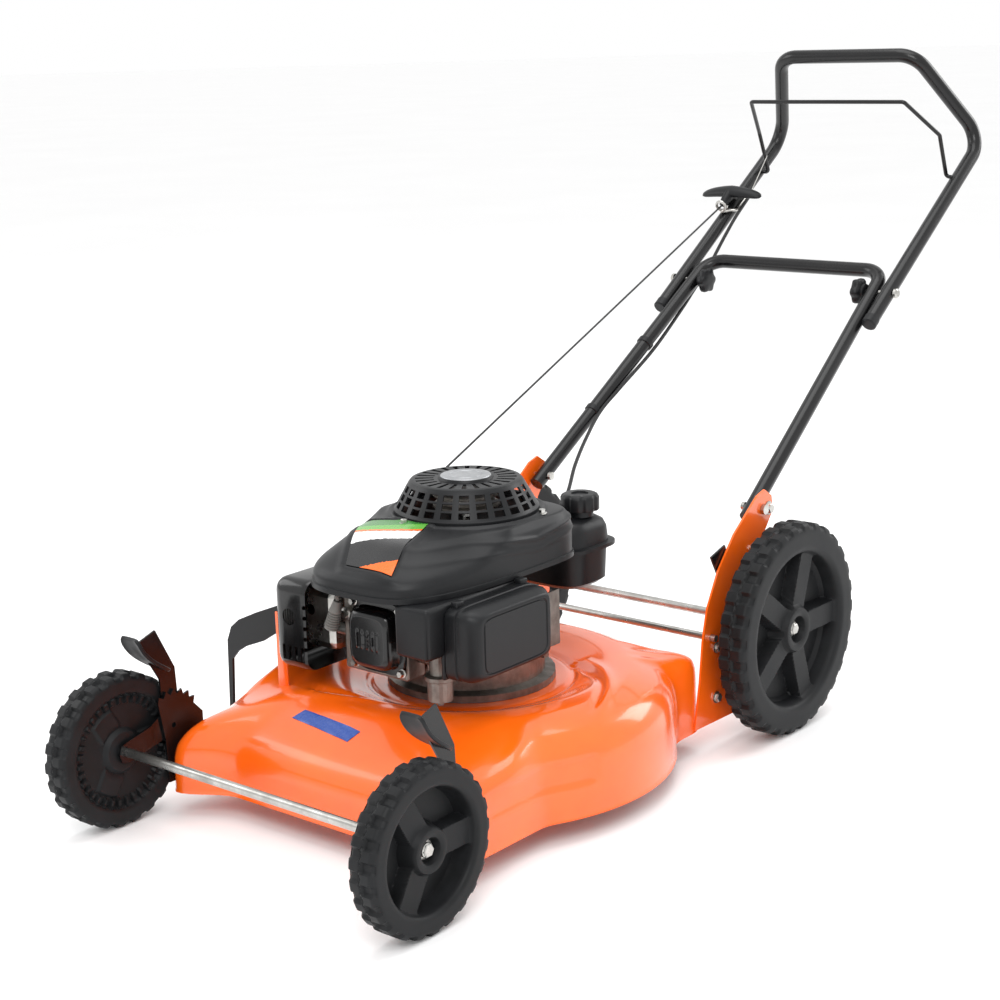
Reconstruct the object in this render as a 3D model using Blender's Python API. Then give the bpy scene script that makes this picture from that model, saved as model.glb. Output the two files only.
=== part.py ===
"""Walk-behind petrol rotary lawn mower, an assembly of separate parts.

Metres, +Z up. The front of the mower faces -Y and the operator stands at +Y, so +X is the operator's left.
The ground is z = 0, x = 0 is the middle plane and y = 0 is the middle of the footprint's length.
"""

from math import acos, atan2, ceil, cos, hypot, pi, radians, sin, sqrt, tan

import bmesh
import bpy
from mathutils import Vector

# ---------------------------------------------------------------- driving dimensions
FIT = 0.0004                 # gap between faces that rest on each other
RUN = 0.0003                 # radial gap between a shaft and its hole
SWING = 0.0015               # side gap between plates that pass each other

FRONT_WHEEL_R = 0.100
FRONT_WHEEL_W = 0.039
FRONT_TRACK = 0.2791         # middle plane to the outer face of a front wheel
REAR_WHEEL_R = 0.150
REAR_WHEEL_W = 0.044
REAR_TRACK = 0.2738
FRONT_AXLE_Y = -0.68555      # the middle of the footprint is y = 0
WHEELBASE = 0.783
AXLE_R = 0.006
TIE_ROD_R = 0.005
SLOT_HALF = 16.5             # degrees of rear bracket slot each way from the axle

DECK_R = 0.270
DECK_BACK = 0.397            # front axle to the crankshaft axis
DECK_SHEET = 0.0026
SKIRT_Z = 0.030
PLATFORM_Z = 0.138
CREST_Z = 0.153
NOSE_HALF = 0.2312
TAIL_HALF = 0.1996
POD_FRONT = 0.057            # front axle to the front of the corner pods
NOSE_FRONT = 0.097           # front axle to the front face between the pods
TAIL_LENGTH = 0.06618        # round wall to the back of the rear pods, along the pod's side

PLATE = 0.003                # lever, quadrant and bracket sheet
TUBE_R = 0.011
TUBE_WALL = 0.0015
HANDLE_RISE = radians(34.3)
HANDLE_ROOT_BACK = 0.0126    # rear axle to the handle bolt
HANDLE_ROOT_UP = 0.161
FOLD_AT = 0.455              # handle bolt to fold bolt, along the tube
CROSSBAR_AT = 0.503
UPPER_FROM = 0.385
UPPER_BEND_AT = 0.827
BOLT_R = 0.0035

SHAFT_R = 0.0125
CAST_WALL = 0.006            # crankcase casting
CASE_LEDGE_Z = 0.192         # shoulder the blower housing's posts stand on
CYLINDER_Z = 0.194
CYLINDER_TOP = 0.286
HEAD_HALF = 0.053
HINGE_R = 0.003
HEAD_LENGTH = 0.034
ROCKER_DEPTH = 0.026         # valve cover, from the head to its face
BLADE_R = 0.245
BLADE_W = 0.055
BLADE_T = 0.004
BLADE_Z = 0.050
CRANKCASE_R = 0.098
CRANKCASE_TOP = 0.232
COVER_R = 0.095
COVER_TOP_R = 0.0715
HOUSING_TOP = 0.367
HOUSING_BASE = 0.302
HOUSING_HALF = 0.117
HOUSING_FRONT = 0.229        # crankshaft axis to the front of the blower housing
HOUSING_BACK = 0.104
SHELL = 0.0025
ROPE_R = 0.0015
CABLE_R = 0.0028
WIRE_R = 0.0008

TAIL_BACK = DECK_BACK + sqrt(DECK_R ** 2 - TAIL_HALF ** 2) + TAIL_LENGTH
REAR_AXLE_Y = FRONT_AXLE_Y + WHEELBASE
CRANK_Y = FRONT_AXLE_Y + DECK_BACK
CRANK = Vector((0.0, CRANK_Y, 0.0))
HANDLE_ROOT = Vector((0.0, REAR_AXLE_Y + HANDLE_ROOT_BACK, REAR_WHEEL_R + HANDLE_ROOT_UP))
HANDLE_DIR = Vector((0.0, cos(HANDLE_RISE), sin(HANDLE_RISE)))
HANDLE_UP = Vector((0.0, -sin(HANDLE_RISE), cos(HANDLE_RISE)))
FRONT_PIVOT = (FRONT_AXLE_Y + 0.075, 0.115)
REAR_PIVOT = (REAR_AXLE_Y - 0.118, REAR_WHEEL_R + 0.007)
SIDES = (("left", 1), ("right", -1))


# ---------------------------------------------------------------- materials and mesh helpers
def material(name, colour, roughness, metallic=0.0):
    """A plain Principled material."""
    mat = bpy.data.materials.new(name)
    mat.use_nodes = True
    shader = mat.node_tree.nodes["Principled BSDF"]
    shader.inputs["Base Color"].default_value = (*colour, 1.0)
    shader.inputs["Roughness"].default_value = roughness
    shader.inputs["Metallic"].default_value = metallic
    return mat


def mesh_object(name, verts, faces, mat, sharp=40.0):
    """One mesh object with its normals out and its round faces smooth."""
    mesh = bpy.data.meshes.new(name)
    mesh.from_pydata([tuple(v) for v in verts], [], faces)
    bm = bmesh.new()
    bm.from_mesh(mesh)
    bmesh.ops.recalc_face_normals(bm, faces=bm.faces)
    bm.to_mesh(mesh)
    bm.free()
    mesh.shade_smooth()
    mesh.set_sharp_from_angle(angle=radians(sharp))
    obj = bpy.data.objects.new(name, mesh)
    bpy.context.scene.collection.objects.link(obj)
    if mat is not None:
        mesh.materials.append(mat)
    return obj


def loft(name, rings, mat, around=False, caps=True, sharp=40.0):
    """Bridge closed rings of equal size; around joins the last ring to the first."""
    size = len(rings[0])
    verts = [v for ring in rings for v in ring]
    faces = []
    count = len(rings) if around else len(rings) - 1
    for i in range(count):
        a = i * size
        b = ((i + 1) % len(rings)) * size
        for j in range(size):
            k = (j + 1) % size
            faces.append((a + j, a + k, b + k, b + j))
    if caps and not around:
        faces.append(tuple(range(size)))
        faces.append(tuple(range((len(rings) - 1) * size, len(rings) * size)))
    return mesh_object(name, verts, faces, mat, sharp)


def circle(radius, height, segments, centre=(0.0, 0.0, 0.0), phase=0.0):
    """A ring of points round +Z."""
    ring = []
    for i in range(segments):
        angle = phase + 2.0 * pi * i / segments
        spoke = Vector((radius * cos(angle), radius * sin(angle), height))
        ring.append(Vector(centre) + spoke)
    return ring


def turned(name, profile, mat, origin, axis=(0.0, 0.0, 1.0), segments=24, sharp=40.0, phase=0.0):
    """A solid turned about an axis from (radius, height) points; both ends are capped."""
    rings = [circle(radius, height, segments, phase=phase) for radius, height in profile]
    obj = loft(name, rings, mat, sharp=sharp)
    place(obj, origin, axis)
    return obj


def hollow_turned(name, profile, mat, origin, axis=(0.0, 0.0, 1.0), segments=24, sharp=40.0):
    """A turned solid with a bore: the (radius, height) points are a closed loop."""
    rings = [circle(radius, height, segments) for radius, height in profile]
    size = segments
    verts = [v for ring in rings for v in ring]
    faces = []
    for i in range(len(rings)):
        a = i * size
        b = ((i + 1) % len(rings)) * size
        for j in range(size):
            k = (j + 1) % size
            faces.append((a + j, a + k, b + k, b + j))
    obj = mesh_object(name, verts, faces, mat, sharp)
    place(obj, origin, axis)
    return obj


def place(obj, origin, axis=(0.0, 0.0, 1.0)):
    """Put an object's origin at a point with its own +Z along an axis."""
    obj.location = Vector(origin)
    obj.rotation_euler = Vector(axis).to_track_quat("Z", "Y").to_euler()


def box(name, low, high, bevel, mat, segments=2):
    """A block with rounded edges."""
    centre = (Vector(low) + Vector(high)) / 2.0
    half = (Vector(high) - Vector(low)) / 2.0
    signs = [(sx, sy, sz) for sx in (-1, 1) for sy in (-1, 1) for sz in (-1, 1)]
    corners = [Vector((sx * half.x, sy * half.y, sz * half.z)) for sx, sy, sz in signs]
    faces = [(0, 1, 3, 2), (4, 6, 7, 5), (0, 4, 5, 1), (2, 3, 7, 6), (0, 2, 6, 4), (1, 5, 7, 3)]
    obj = mesh_object(name, corners, faces, mat)
    obj.location = centre
    if bevel > 0.0:
        mod = obj.modifiers.new("round", "BEVEL")
        mod.width = bevel
        mod.segments = segments
        mod.limit_method = "ANGLE"
    return obj


def sheet(name, outline, low_x, high_x, mat, origin=(0.0, 0.0)):
    """A flat plate across X from a (y, z) outline; its origin lies on the outline's named point."""
    rings = []
    for x in (low_x, high_x):
        rings.append([Vector((x, y - origin[0], z - origin[1])) for y, z in outline])
    obj = loft(name, rings, mat)
    obj.location = (0.0, origin[0], origin[1])
    return obj


def boolean(obj, other, operation):
    """Cut or join another object and keep it as a hidden guide."""
    other.hide_render = True
    other.display_type = "WIRE"
    mod = obj.modifiers.new(other.name, "BOOLEAN")
    mod.operation = operation
    mod.solver = "EXACT"
    mod.object = other


def drill(obj, radius, start, end, segments=16):
    """A round hole from one point to another."""
    start = Vector(start)
    end = Vector(end)
    length = (end - start).length
    name = f"hole_{obj.name}_{len(obj.modifiers)}"
    cutter = turned(name, [(radius, 0.0), (radius, length)], None, start, end - start, segments)
    boolean(obj, cutter, "DIFFERENCE")


def sweep(name, points, radius, mat, sides=10, wall=0.0):
    """A round bar along points, or a tube with open ends where a wall is given."""
    points = [Vector(p) for p in points]
    count = len(points)
    tangents = []
    for i in range(count):
        before = points[max(i - 1, 0)]
        after = points[min(i + 1, count - 1)]
        tangents.append((after - before).normalized())
    normal = tangents[0].orthogonal().normalized()
    outer = []
    inner = []
    for i in range(count):
        if i:
            turn = tangents[i - 1].rotation_difference(tangents[i])
            normal = (turn @ normal).normalized()
        side = tangents[i].cross(normal)
        arms = []
        for j in range(sides):
            angle = 2.0 * pi * j / sides
            arms.append(cos(angle) * normal + sin(angle) * side)
        outer.append([points[i] + radius * arm for arm in arms])
        inner.append([points[i] + (radius - wall) * arm for arm in arms])
    if wall > 0.0:
        return loft(name, outer + inner[::-1], mat, around=True, sharp=50.0)
    return loft(name, outer, mat, sharp=50.0)


def filleted(points, radius, steps=4):
    """A polyline whose inner corners are arcs of one radius."""
    points = [Vector(p) for p in points]
    path = [points[0]]
    for i in range(1, len(points) - 1):
        corner = points[i]
        back = (points[i - 1] - corner).normalized()
        ahead = (points[i + 1] - corner).normalized()
        half = acos(max(-1.0, min(1.0, back.dot(ahead)))) / 2.0
        trim = radius / tan(half)
        middle = corner + (back + ahead).normalized() * (radius / sin(half))
        first = corner + back * trim
        last = corner + ahead * trim
        span = (first - middle).angle(last - middle)
        for k in range(steps + 1):
            share = k / steps
            arm = (first - middle) * sin((1.0 - share) * span) + (last - middle) * sin(share * span)
            path.append(middle + arm / sin(span))
    path.append(points[-1])
    return path


def smooth_route(points, spacing):
    """Points at an even spacing on a Catmull-Rom curve through a route."""
    points = [Vector(p) for p in points]
    ends = [2.0 * points[0] - points[1]] + points + [2.0 * points[-1] - points[-2]]
    fine = []
    for i in range(1, len(ends) - 2):
        p0, p1, p2, p3 = ends[i - 1:i + 3]
        steps = max(2, ceil((p2 - p1).length / spacing))
        for k in range(steps):
            t = k / steps
            fine.append(
                0.5 * (2.0 * p1 + (p2 - p0) * t + (2.0 * p0 - 5.0 * p1 + 4.0 * p2 - p3) * t * t
                       + (3.0 * p1 - p0 - 3.0 * p2 + p3) * t * t * t)
            )
    fine.append(points[-1])
    return fine


def cord(name, points, radius, mat):
    """A cable as a filled curve with a round section."""
    curve = bpy.data.curves.new(name, "CURVE")
    curve.dimensions = "3D"
    curve.bevel_depth = radius
    curve.bevel_resolution = 2
    curve.use_fill_caps = True
    spline = curve.splines.new("POLY")
    spline.points.add(len(points) - 1)
    for point, target in zip(spline.points, points):
        point.co = (*target, 1.0)
    curve.materials.append(mat)
    obj = bpy.data.objects.new(name, curve)
    bpy.context.scene.collection.objects.link(obj)
    return obj


def arc(centre, radius, start, end, steps):
    """Points of an arc in the (y, z) plane, angles in degrees."""
    points = []
    for k in range(steps + 1):
        angle = radians(start + (end - start) * k / steps)
        points.append((centre[0] + radius * cos(angle), centre[1] + radius * sin(angle)))
    return points


def yz(*pairs):
    """(y, z) points given from the front axle."""
    return [(FRONT_AXLE_Y + y, z) for y, z in pairs]


def by_rear_axle(*pairs):
    """(y, z) points given from the rear axle."""
    return [(REAR_AXLE_Y + y, REAR_WHEEL_R + z) for y, z in pairs]


def smoothstep(low, high, value):
    """0 below low, 1 above high, smooth between."""
    share = max(0.0, min(1.0, (value - low) / (high - low)))
    return share * share * (3.0 - 2.0 * share)


def on_handle(x, along, up=0.0):
    """A point on the handle's slope, measured from the handle bolt."""
    point = HANDLE_ROOT + HANDLE_DIR * along + HANDLE_UP * up
    return Vector((x, point.y, point.z))


# ---------------------------------------------------------------- deck
def deck_radius(angle):
    """Crankshaft axis to the skirt in plan: a round chamber, front corner pods and rear pods."""
    c = cos(angle)
    s = sin(angle)
    reach = DECK_R
    if s < 0.0:
        across = (DECK_BACK - NOSE_FRONT) / -s * c
        depth = NOSE_FRONT - (NOSE_FRONT - POD_FRONT) * smoothstep(0.155, 0.190, abs(across))
        reach = max(reach, min((DECK_BACK - depth) / -s, NOSE_HALF / max(abs(c), 1e-6)))
    else:
        tail = min((TAIL_BACK - DECK_BACK) / max(s, 1e-6), TAIL_HALF / max(abs(c), 1e-6))
        reach = max(reach, tail)
    return reach


def deck_angles(segments):
    """Even angles round the crankshaft axis, the nearest ones moved onto the outline's corners."""
    step = 2.0 * pi / segments
    angles = [step * i for i in range(segments)]
    corners = ((TAIL_HALF, TAIL_BACK - DECK_BACK), (TAIL_HALF, sqrt(DECK_R ** 2 - TAIL_HALF ** 2)),
               (NOSE_HALF, POD_FRONT - DECK_BACK), (NOSE_HALF, -sqrt(DECK_R ** 2 - NOSE_HALF ** 2)))
    for x, y in corners:
        for _, sign in SIDES:
            angle = atan2(y, sign * x) % (2.0 * pi)
            angles[round(angle / step) % segments] = angle
    return angles


def offset_profile(points, distance):
    """The same (r, z) polyline moved to its right-hand side."""
    moved = []
    for i, (r, z) in enumerate(points):
        before = points[max(i - 1, 0)]
        after = points[min(i + 1, len(points) - 1)]
        direction = Vector((after[0] - before[0], after[1] - before[1])).normalized()
        moved.append((r + distance * direction.y, z - distance * direction.x))
    return moved


def deck_profile(angle):
    """Outer (r, z) points from the crankshaft hole to the skirt's lower edge."""
    reach = deck_radius(angle)
    front = smoothstep(0.55, 0.85, -sin(angle))
    pod = smoothstep(0.005, 0.035, reach - DECK_R) * (1.0 - front)
    drops = ((0.045, 0.149, 0.122, 0.142), (0.020, 0.138, 0.108, 0.140), (0.005, 0.118, 0.092, 0.133),
             (0.0, 0.095, 0.074, 0.118))
    points = [(0.036, PLATFORM_Z), (0.124, PLATFORM_Z), (0.134, PLATFORM_Z - 0.005),
              (0.150, PLATFORM_Z + 0.004), (0.182, CREST_Z), (0.212, CREST_Z - 0.003 * front)]
    for inset, round_z, front_z, pod_z in drops:
        height = round_z + (front_z - round_z) * front + (pod_z - round_z) * pod
        points.append((reach - inset, height))
    points.append((reach, SKIRT_Z))
    return points


def make_deck(paint):
    """Pressed steel deck with a round cutting chamber and an open right side for the clippings."""
    rings = []
    for angle in deck_angles(64):
        outer = deck_profile(angle)
        inner = offset_profile(outer, DECK_SHEET)
        inner[0] = (outer[0][0], outer[0][1] - DECK_SHEET)
        inner[-1] = (outer[-1][0] - DECK_SHEET, SKIRT_Z)
        loop = outer + inner[::-1]
        rings.append([Vector((r * cos(angle), r * sin(angle), z)) for r, z in loop])
    deck = loft("deck", rings, paint, around=True, sharp=35.0)
    deck.location = CRANK
    low = (-DECK_R - 0.0212, CRANK_Y - 0.185, SKIRT_Z - 0.02)
    high = (0.080 - DECK_R, CRANK_Y - 0.035, 0.116)
    mouth = box("discharge_cut", low, high, 0.0, None)
    boolean(deck, mouth, "DIFFERENCE")
    return deck


def make_discharge_guard(plastic, deck):
    """Black arch over the discharge mouth, hinged along Y between two ears on the deck's shoulder."""
    front = CRANK_Y - 0.183
    back = CRANK_Y - 0.045
    pivot = Vector((0.103 - DECK_R, (front + back) / 2.0, 0.233))
    outer = [(0.110, 0.243), (0.098, 0.251), (0.055, 0.234), (0.020, 0.218), (0.004, 0.205),
             (-0.0045, 0.185), (-0.0082, 0.075)]
    inner = [(-0.0018, 0.075), (0.0032, 0.160), (0.014, 0.172), (0.030, 0.182), (0.065, 0.196),
             (0.094, 0.214), (0.110, 0.224)]
    rings = []
    for y in (front, back):
        rings.append([Vector((x - DECK_R, y, z)) - pivot for x, z in outer + inner])
    guard = loft("discharge_guard", rings, plastic)
    guard.location = pivot
    hollow = [(0.085, 0.2415), (0.056, 0.230), (0.022, 0.214), (0.008, 0.203), (0.002, 0.185),
              (-0.030, 0.180)]
    lower = [(-0.030, 0.03), (0.085, 0.03)]
    core = []
    for y in (front + 0.004, back - 0.004):
        core.append([Vector((x - DECK_R, y, z)) for x, z in hollow + lower])
    boolean(guard, loft("guard_hollow", core, None), "DIFFERENCE")
    for name, end, way in (("front", front, -1), ("back", back, 1)):
        near = end + way * FIT
        far = near + way * PLATE
        low_y, high_y = sorted((near, far))
        ear_low = (pivot.x - 0.009, low_y, PLATFORM_Z - 0.001)
        ear_high = (pivot.x + 0.009, high_y, pivot.z + 0.010)
        boolean(deck, box(f"guard_ear_{name}", ear_low, ear_high, 0.0, None), "UNION")
        tip = Vector((pivot.x, end - way * 0.008, pivot.z))
        bottom = tip - Vector((0.0, way * 0.001, 0.0))
        drill(guard, HINGE_R + RUN, bottom, tip + Vector((0.0, way * 0.012, 0.0)), 12)
        stub = [(HINGE_R, 0.0), (HINGE_R, abs(far - tip.y) - 0.001)]
        boolean(deck, turned(f"hinge_stub_{name}", stub, None, tip, (0.0, way, 0.0), 12), "UNION")


# ---------------------------------------------------------------- wheels, axles and height levers
def wheel_rings(radius, width, hub_r, webs, segments, bore):
    """Closed (r, x) loops round the axle: flat webs with pockets between them."""
    rim = radius * 0.76
    per_web = segments // webs
    rings = []
    shift = (segments % 4) / 4.0
    for i in range(segments):
        solid = (i % per_web) < per_web // 2
        web = width * 0.74 if solid else width * 0.34
        loop = [(bore, width * 0.62), (hub_r * 0.55, width * 0.62), (hub_r * 0.68, width * 0.92),
                (hub_r, width * 0.92), (hub_r * 1.12, web), (rim * 0.95, web), (rim, width),
                (radius * 0.96, width), (radius, width * 0.84), (radius, width * 0.16), (radius * 0.96, 0.0),
                (rim, 0.0), (rim * 0.95, width * 0.2), (hub_r * 1.1, width * 0.2), (hub_r, 0.0015),
                (bore, 0.0015)]
        angle = 2.0 * pi * (i + shift) / segments
        rings.append([Vector((r * cos(angle), r * sin(angle), x)) for r, x in loop])
    return rings


def make_wheels(plastic):
    """Two front and two rear wheels."""
    plan = (("front", FRONT_WHEEL_R, FRONT_WHEEL_W, FRONT_TRACK, FRONT_AXLE_Y, 0.025, 3, 24),
            ("rear", REAR_WHEEL_R, REAR_WHEEL_W, REAR_TRACK, REAR_AXLE_Y, 0.030, 5, 30))
    for end, radius, width, track, y, hub_r, webs, segments in plan:
        for side, sign in SIDES:
            rings = wheel_rings(radius, width, hub_r, webs, segments, AXLE_R + RUN)
            wheel = loft(f"{end}_wheel_{side}", rings, plastic, around=True, sharp=30.0)
            place(wheel, (sign * (track - width), y, radius), (sign, 0.0, 0.0))


def make_axles(steel):
    """Bright axle bars, each with a domed nut pressed on both ends."""
    plan = (("front", FRONT_WHEEL_R, FRONT_WHEEL_W, FRONT_TRACK, FRONT_AXLE_Y),
            ("rear", REAR_WHEEL_R, REAR_WHEEL_W, REAR_TRACK, REAR_AXLE_Y))
    for end, height, width, track, y in plan:
        seat = track - width * 0.38 + FIT
        nut = [(AXLE_R, seat), (AXLE_R * 1.5, seat), (AXLE_R * 1.5, seat + 0.005),
               (AXLE_R * 0.9, seat + 0.0075)]
        profile = [(radius, -x) for radius, x in reversed(nut)] + nut
        turned(f"{end}_axle", profile, steel, (0.0, y, height), (1.0, 0.0, 0.0), 18)


def make_front_levers(black):
    """Lever plates that carry the front axle, and the notched plates they lock against."""
    outside = NOSE_HALF + FIT
    teeth = []
    for k in range(13):
        angle = radians(125.0 - 95.0 * k / 12)
        reach = 0.048 if k % 2 else 0.041
        teeth.append((FRONT_PIVOT[0] + reach * cos(angle), FRONT_PIVOT[1] + reach * sin(angle)))
    quadrant = yz((0.062, 0.040), (0.060, 0.100)) + teeth + yz((0.125, 0.120), (0.125, 0.040))
    lever = yz((-0.013, 0.099), (-0.009, 0.088), (0.002, 0.086), (0.070, 0.101), (0.086, 0.106),
               (0.090, 0.118), (0.088, 0.150), (0.086, 0.190), (0.058, 0.246), (0.028, 0.236), (0.060, 0.180),
               (0.062, 0.136), (0.040, 0.122), (0.0, 0.113), (-0.009, 0.110))
    for side, sign in SIDES:
        low, high = sorted((sign * outside, sign * (outside + PLATE)))
        plate = sheet(f"front_quadrant_{side}", quadrant, low, high, black, FRONT_PIVOT)
        drill(plate, BOLT_R, (low - 0.01, *FRONT_PIVOT), (high + 0.01, *FRONT_PIVOT))
        low, high = sorted((sign * (outside + PLATE + SWING / 2), sign * (outside + 2 * PLATE + SWING / 2)))
        arm = sheet(f"front_lever_{side}", lever, low, high, black, FRONT_PIVOT)
        axle = (FRONT_AXLE_Y, FRONT_WHEEL_R)
        drill(arm, AXLE_R + RUN, (low - 0.01, *axle), (high + 0.01, *axle))


def make_rear_brackets(paint, black, steel):
    """Painted brackets, the tie rod between them and the lever plates that carry the rear axle."""
    outline = yz((TAIL_BACK - 0.020, 0.034))
    outline += by_rear_axle((-0.048, -0.118), (0.017, -0.080), (0.039, -0.030), (0.039, 0.035),
                            (0.012, 0.085), (0.015, 0.125), (0.039, 0.155), (0.035, 0.176), (0.017, 0.188),
                            (-0.003, 0.182), (-0.061, 0.140), (-0.101, 0.096))
    outline += yz((TAIL_BACK + 0.011, 0.200), (TAIL_BACK, 0.157), (TAIL_BACK - 0.007, 0.100))
    reach = hypot(REAR_AXLE_Y - REAR_PIVOT[0], REAR_WHEEL_R - REAR_PIVOT[1])
    mid = atan2(REAR_WHEEL_R - REAR_PIVOT[1], REAR_AXLE_Y - REAR_PIVOT[0]) * 180.0 / pi
    clear = AXLE_R + 0.002
    window = arc(REAR_PIVOT, reach + clear, mid - SLOT_HALF, mid + SLOT_HALF, 6)
    window += arc(REAR_PIVOT, reach - clear, mid + SLOT_HALF, mid - SLOT_HALF, 6)
    lever = by_rear_axle((-0.128, 0.010), (-0.127, -0.001), (-0.119, -0.0035), (-0.063, -0.007),
                         (-0.008, -0.016), (0.009, -0.014), (0.015, -0.001), (0.011, 0.010), (0.001, 0.016),
                         (-0.053, 0.022), (-0.059, 0.085), (-0.077, 0.128), (-0.111, 0.118), (-0.089, 0.080),
                         (-0.085, 0.030), (-0.113, 0.018))
    for side, sign in SIDES:
        inner = TAIL_HALF + FIT
        low, high = sorted((sign * inner, sign * (inner + PLATE)))
        bracket = sheet(f"rear_bracket_{side}", outline, low, high, paint)
        cutter = []
        for x in (low - 0.01, high + 0.01):
            cutter.append([Vector((x, y, z)) for y, z in window])
        boolean(bracket, loft(f"axle_window_{side}", cutter, None), "DIFFERENCE")
        drill(bracket, TIE_ROD_R + RUN, (low - 0.01, *REAR_PIVOT), (high + 0.01, *REAR_PIVOT))
        root = (HANDLE_ROOT.y, HANDLE_ROOT.z)
        drill(bracket, BOLT_R + RUN, (low - 0.01, *root), (high + 0.01, *root))
        low, high = sorted((sign * (inner - SWING - PLATE), sign * (inner - SWING)))
        arm = sheet(f"rear_lever_{side}", lever, low, high, black, REAR_PIVOT)
        drill(arm, TIE_ROD_R + RUN, (low - 0.01, *REAR_PIVOT), (high + 0.01, *REAR_PIVOT))
        axle = (REAR_AXLE_Y, REAR_WHEEL_R)
        drill(arm, AXLE_R + RUN, (low - 0.01, *axle), (high + 0.01, *axle))
    half = TAIL_HALF + PLATE + 0.008
    rod = [(TIE_ROD_R, -half), (TIE_ROD_R, half)]
    turned("rear_tie_rod", rod, steel, (0.0, *REAR_PIVOT), (1.0, 0.0, 0.0), 16)


# ---------------------------------------------------------------- handle
BRACKET_GAP = 0.003          # bracket to the lower tube
TUBE_GAP = 0.0034            # lower tube to upper tube at the fold bolt
LOWER_X = TAIL_HALF + FIT - TUBE_R - BRACKET_GAP
LOWER_TOP_X = 0.160
UPPER_TOE = 0.00905          # how much the upper tubes draw in, per metre
GRIP_X = 0.121
GRIP_FORWARD = 0.1113        # bend of the upper tube to the top bar, towards the front
GRIP_RISE = 0.1367
BAIL_AT = 0.732
BAIL_R = 0.0032
HOOK_SHARE = 0.42            # bail pivot to shoulder, where the wire hooks in
GUIDE_AT = 0.612
GUIDE_UP = TUBE_R + 0.012
GRIP_AT = 0.647


def lower_x(along):
    """Middle plane to the lower tube's axis at a place along the slope."""
    return LOWER_X + (LOWER_TOP_X - LOWER_X) * along / CROSSBAR_AT


def upper_x(along):
    """Middle plane to the upper tube's axis at a place along the slope."""
    return lower_x(FOLD_AT) + 2.0 * TUBE_R + TUBE_GAP - UPPER_TOE * (along - FOLD_AT)


def make_handles(black, steel):
    """Lower and upper tubes with the bolts and knobs that join them."""
    route = [on_handle(lower_x(-0.02), -0.02), on_handle(LOWER_TOP_X, CROSSBAR_AT),
             on_handle(-LOWER_TOP_X, CROSSBAR_AT), on_handle(-lower_x(-0.02), -0.02)]
    lower = sweep("lower_handle", filleted(route, 0.034), TUBE_R, black, wall=TUBE_WALL)
    bend = on_handle(upper_x(UPPER_BEND_AT), UPPER_BEND_AT)
    corner = Vector((GRIP_X, bend.y - GRIP_FORWARD, bend.z + GRIP_RISE))
    half = [on_handle(upper_x(UPPER_FROM), UPPER_FROM), bend, corner]
    route = half + [Vector((-point.x, point.y, point.z)) for point in reversed(half)]
    upper = sweep("upper_handle", filleted(route, 0.040), TUBE_R, black, wall=TUBE_WALL)
    fold = on_handle(0.0, FOLD_AT)
    spot = on_handle(upper_x(BAIL_AT), BAIL_AT)
    for _, sign in SIDES:
        inward = Vector((sign * (spot.x - 0.030), spot.y, spot.z))
        drill(upper, BAIL_R + RUN, (sign * spot.x, spot.y, spot.z), inward, 12)
    for tube, at in ((lower, FOLD_AT), (lower, 0.0), (upper, FOLD_AT)):
        spot = on_handle(0.0, at)
        drill(tube, BOLT_R + RUN, (0.10, spot.y, spot.z), (0.25, spot.y, spot.z), 12)
        drill(tube, BOLT_R + RUN, (-0.10, spot.y, spot.z), (-0.25, spot.y, spot.z), 12)
    for side, sign in SIDES:
        head_at = upper_x(FOLD_AT) + TUBE_R + FIT
        nut_at = lower_x(FOLD_AT) - TUBE_R - FIT
        bolt = [(BOLT_R, nut_at - 0.004), (BOLT_R, head_at), (0.0075, head_at), (0.0075, head_at + 0.004),
                (0.005, head_at + 0.006)]
        turned(f"fold_bolt_{side}", bolt, steel, (0.0, fold.y, fold.z), (sign, 0.0, 0.0), 12)
        rings = []
        knob = ((nut_at, 0.011), (nut_at - 0.005, 0.012), (nut_at - 0.006, 0.019), (nut_at - 0.017, 0.019),
                (nut_at - 0.020, 0.015))
        for x, radius in knob:
            ring = []
            for j in range(24):
                lobe = 1.0 + (0.08 * cos(6.0 * 2.0 * pi * j / 24) if radius > 0.013 else 0.0)
                angle = 2.0 * pi * j / 24
                ring.append(Vector((radius * lobe * cos(angle), radius * lobe * sin(angle), x)))
            rings.append(ring)
        grip = loft(f"fold_knob_{side}", rings, black)
        place(grip, (0.0, fold.y, fold.z), (sign, 0.0, 0.0))
        start = Vector((sign * (nut_at + 0.01), fold.y, fold.z))
        drill(grip, BOLT_R + RUN, start, start - Vector((sign * 0.0155, 0.0, 0.0)))
        head_at = TAIL_HALF + PLATE + 2 * FIT
        inner = LOWER_X - TUBE_R - FIT
        bolt = [(0.0062, inner - 0.005), (0.0062, inner), (BOLT_R, inner), (BOLT_R, head_at),
                (0.0075, head_at), (0.0075, head_at + 0.005)]
        turned(f"handle_bolt_{side}", bolt, steel, (0.0, HANDLE_ROOT.y, HANDLE_ROOT.z), (sign, 0.0, 0.0), 12)


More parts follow.
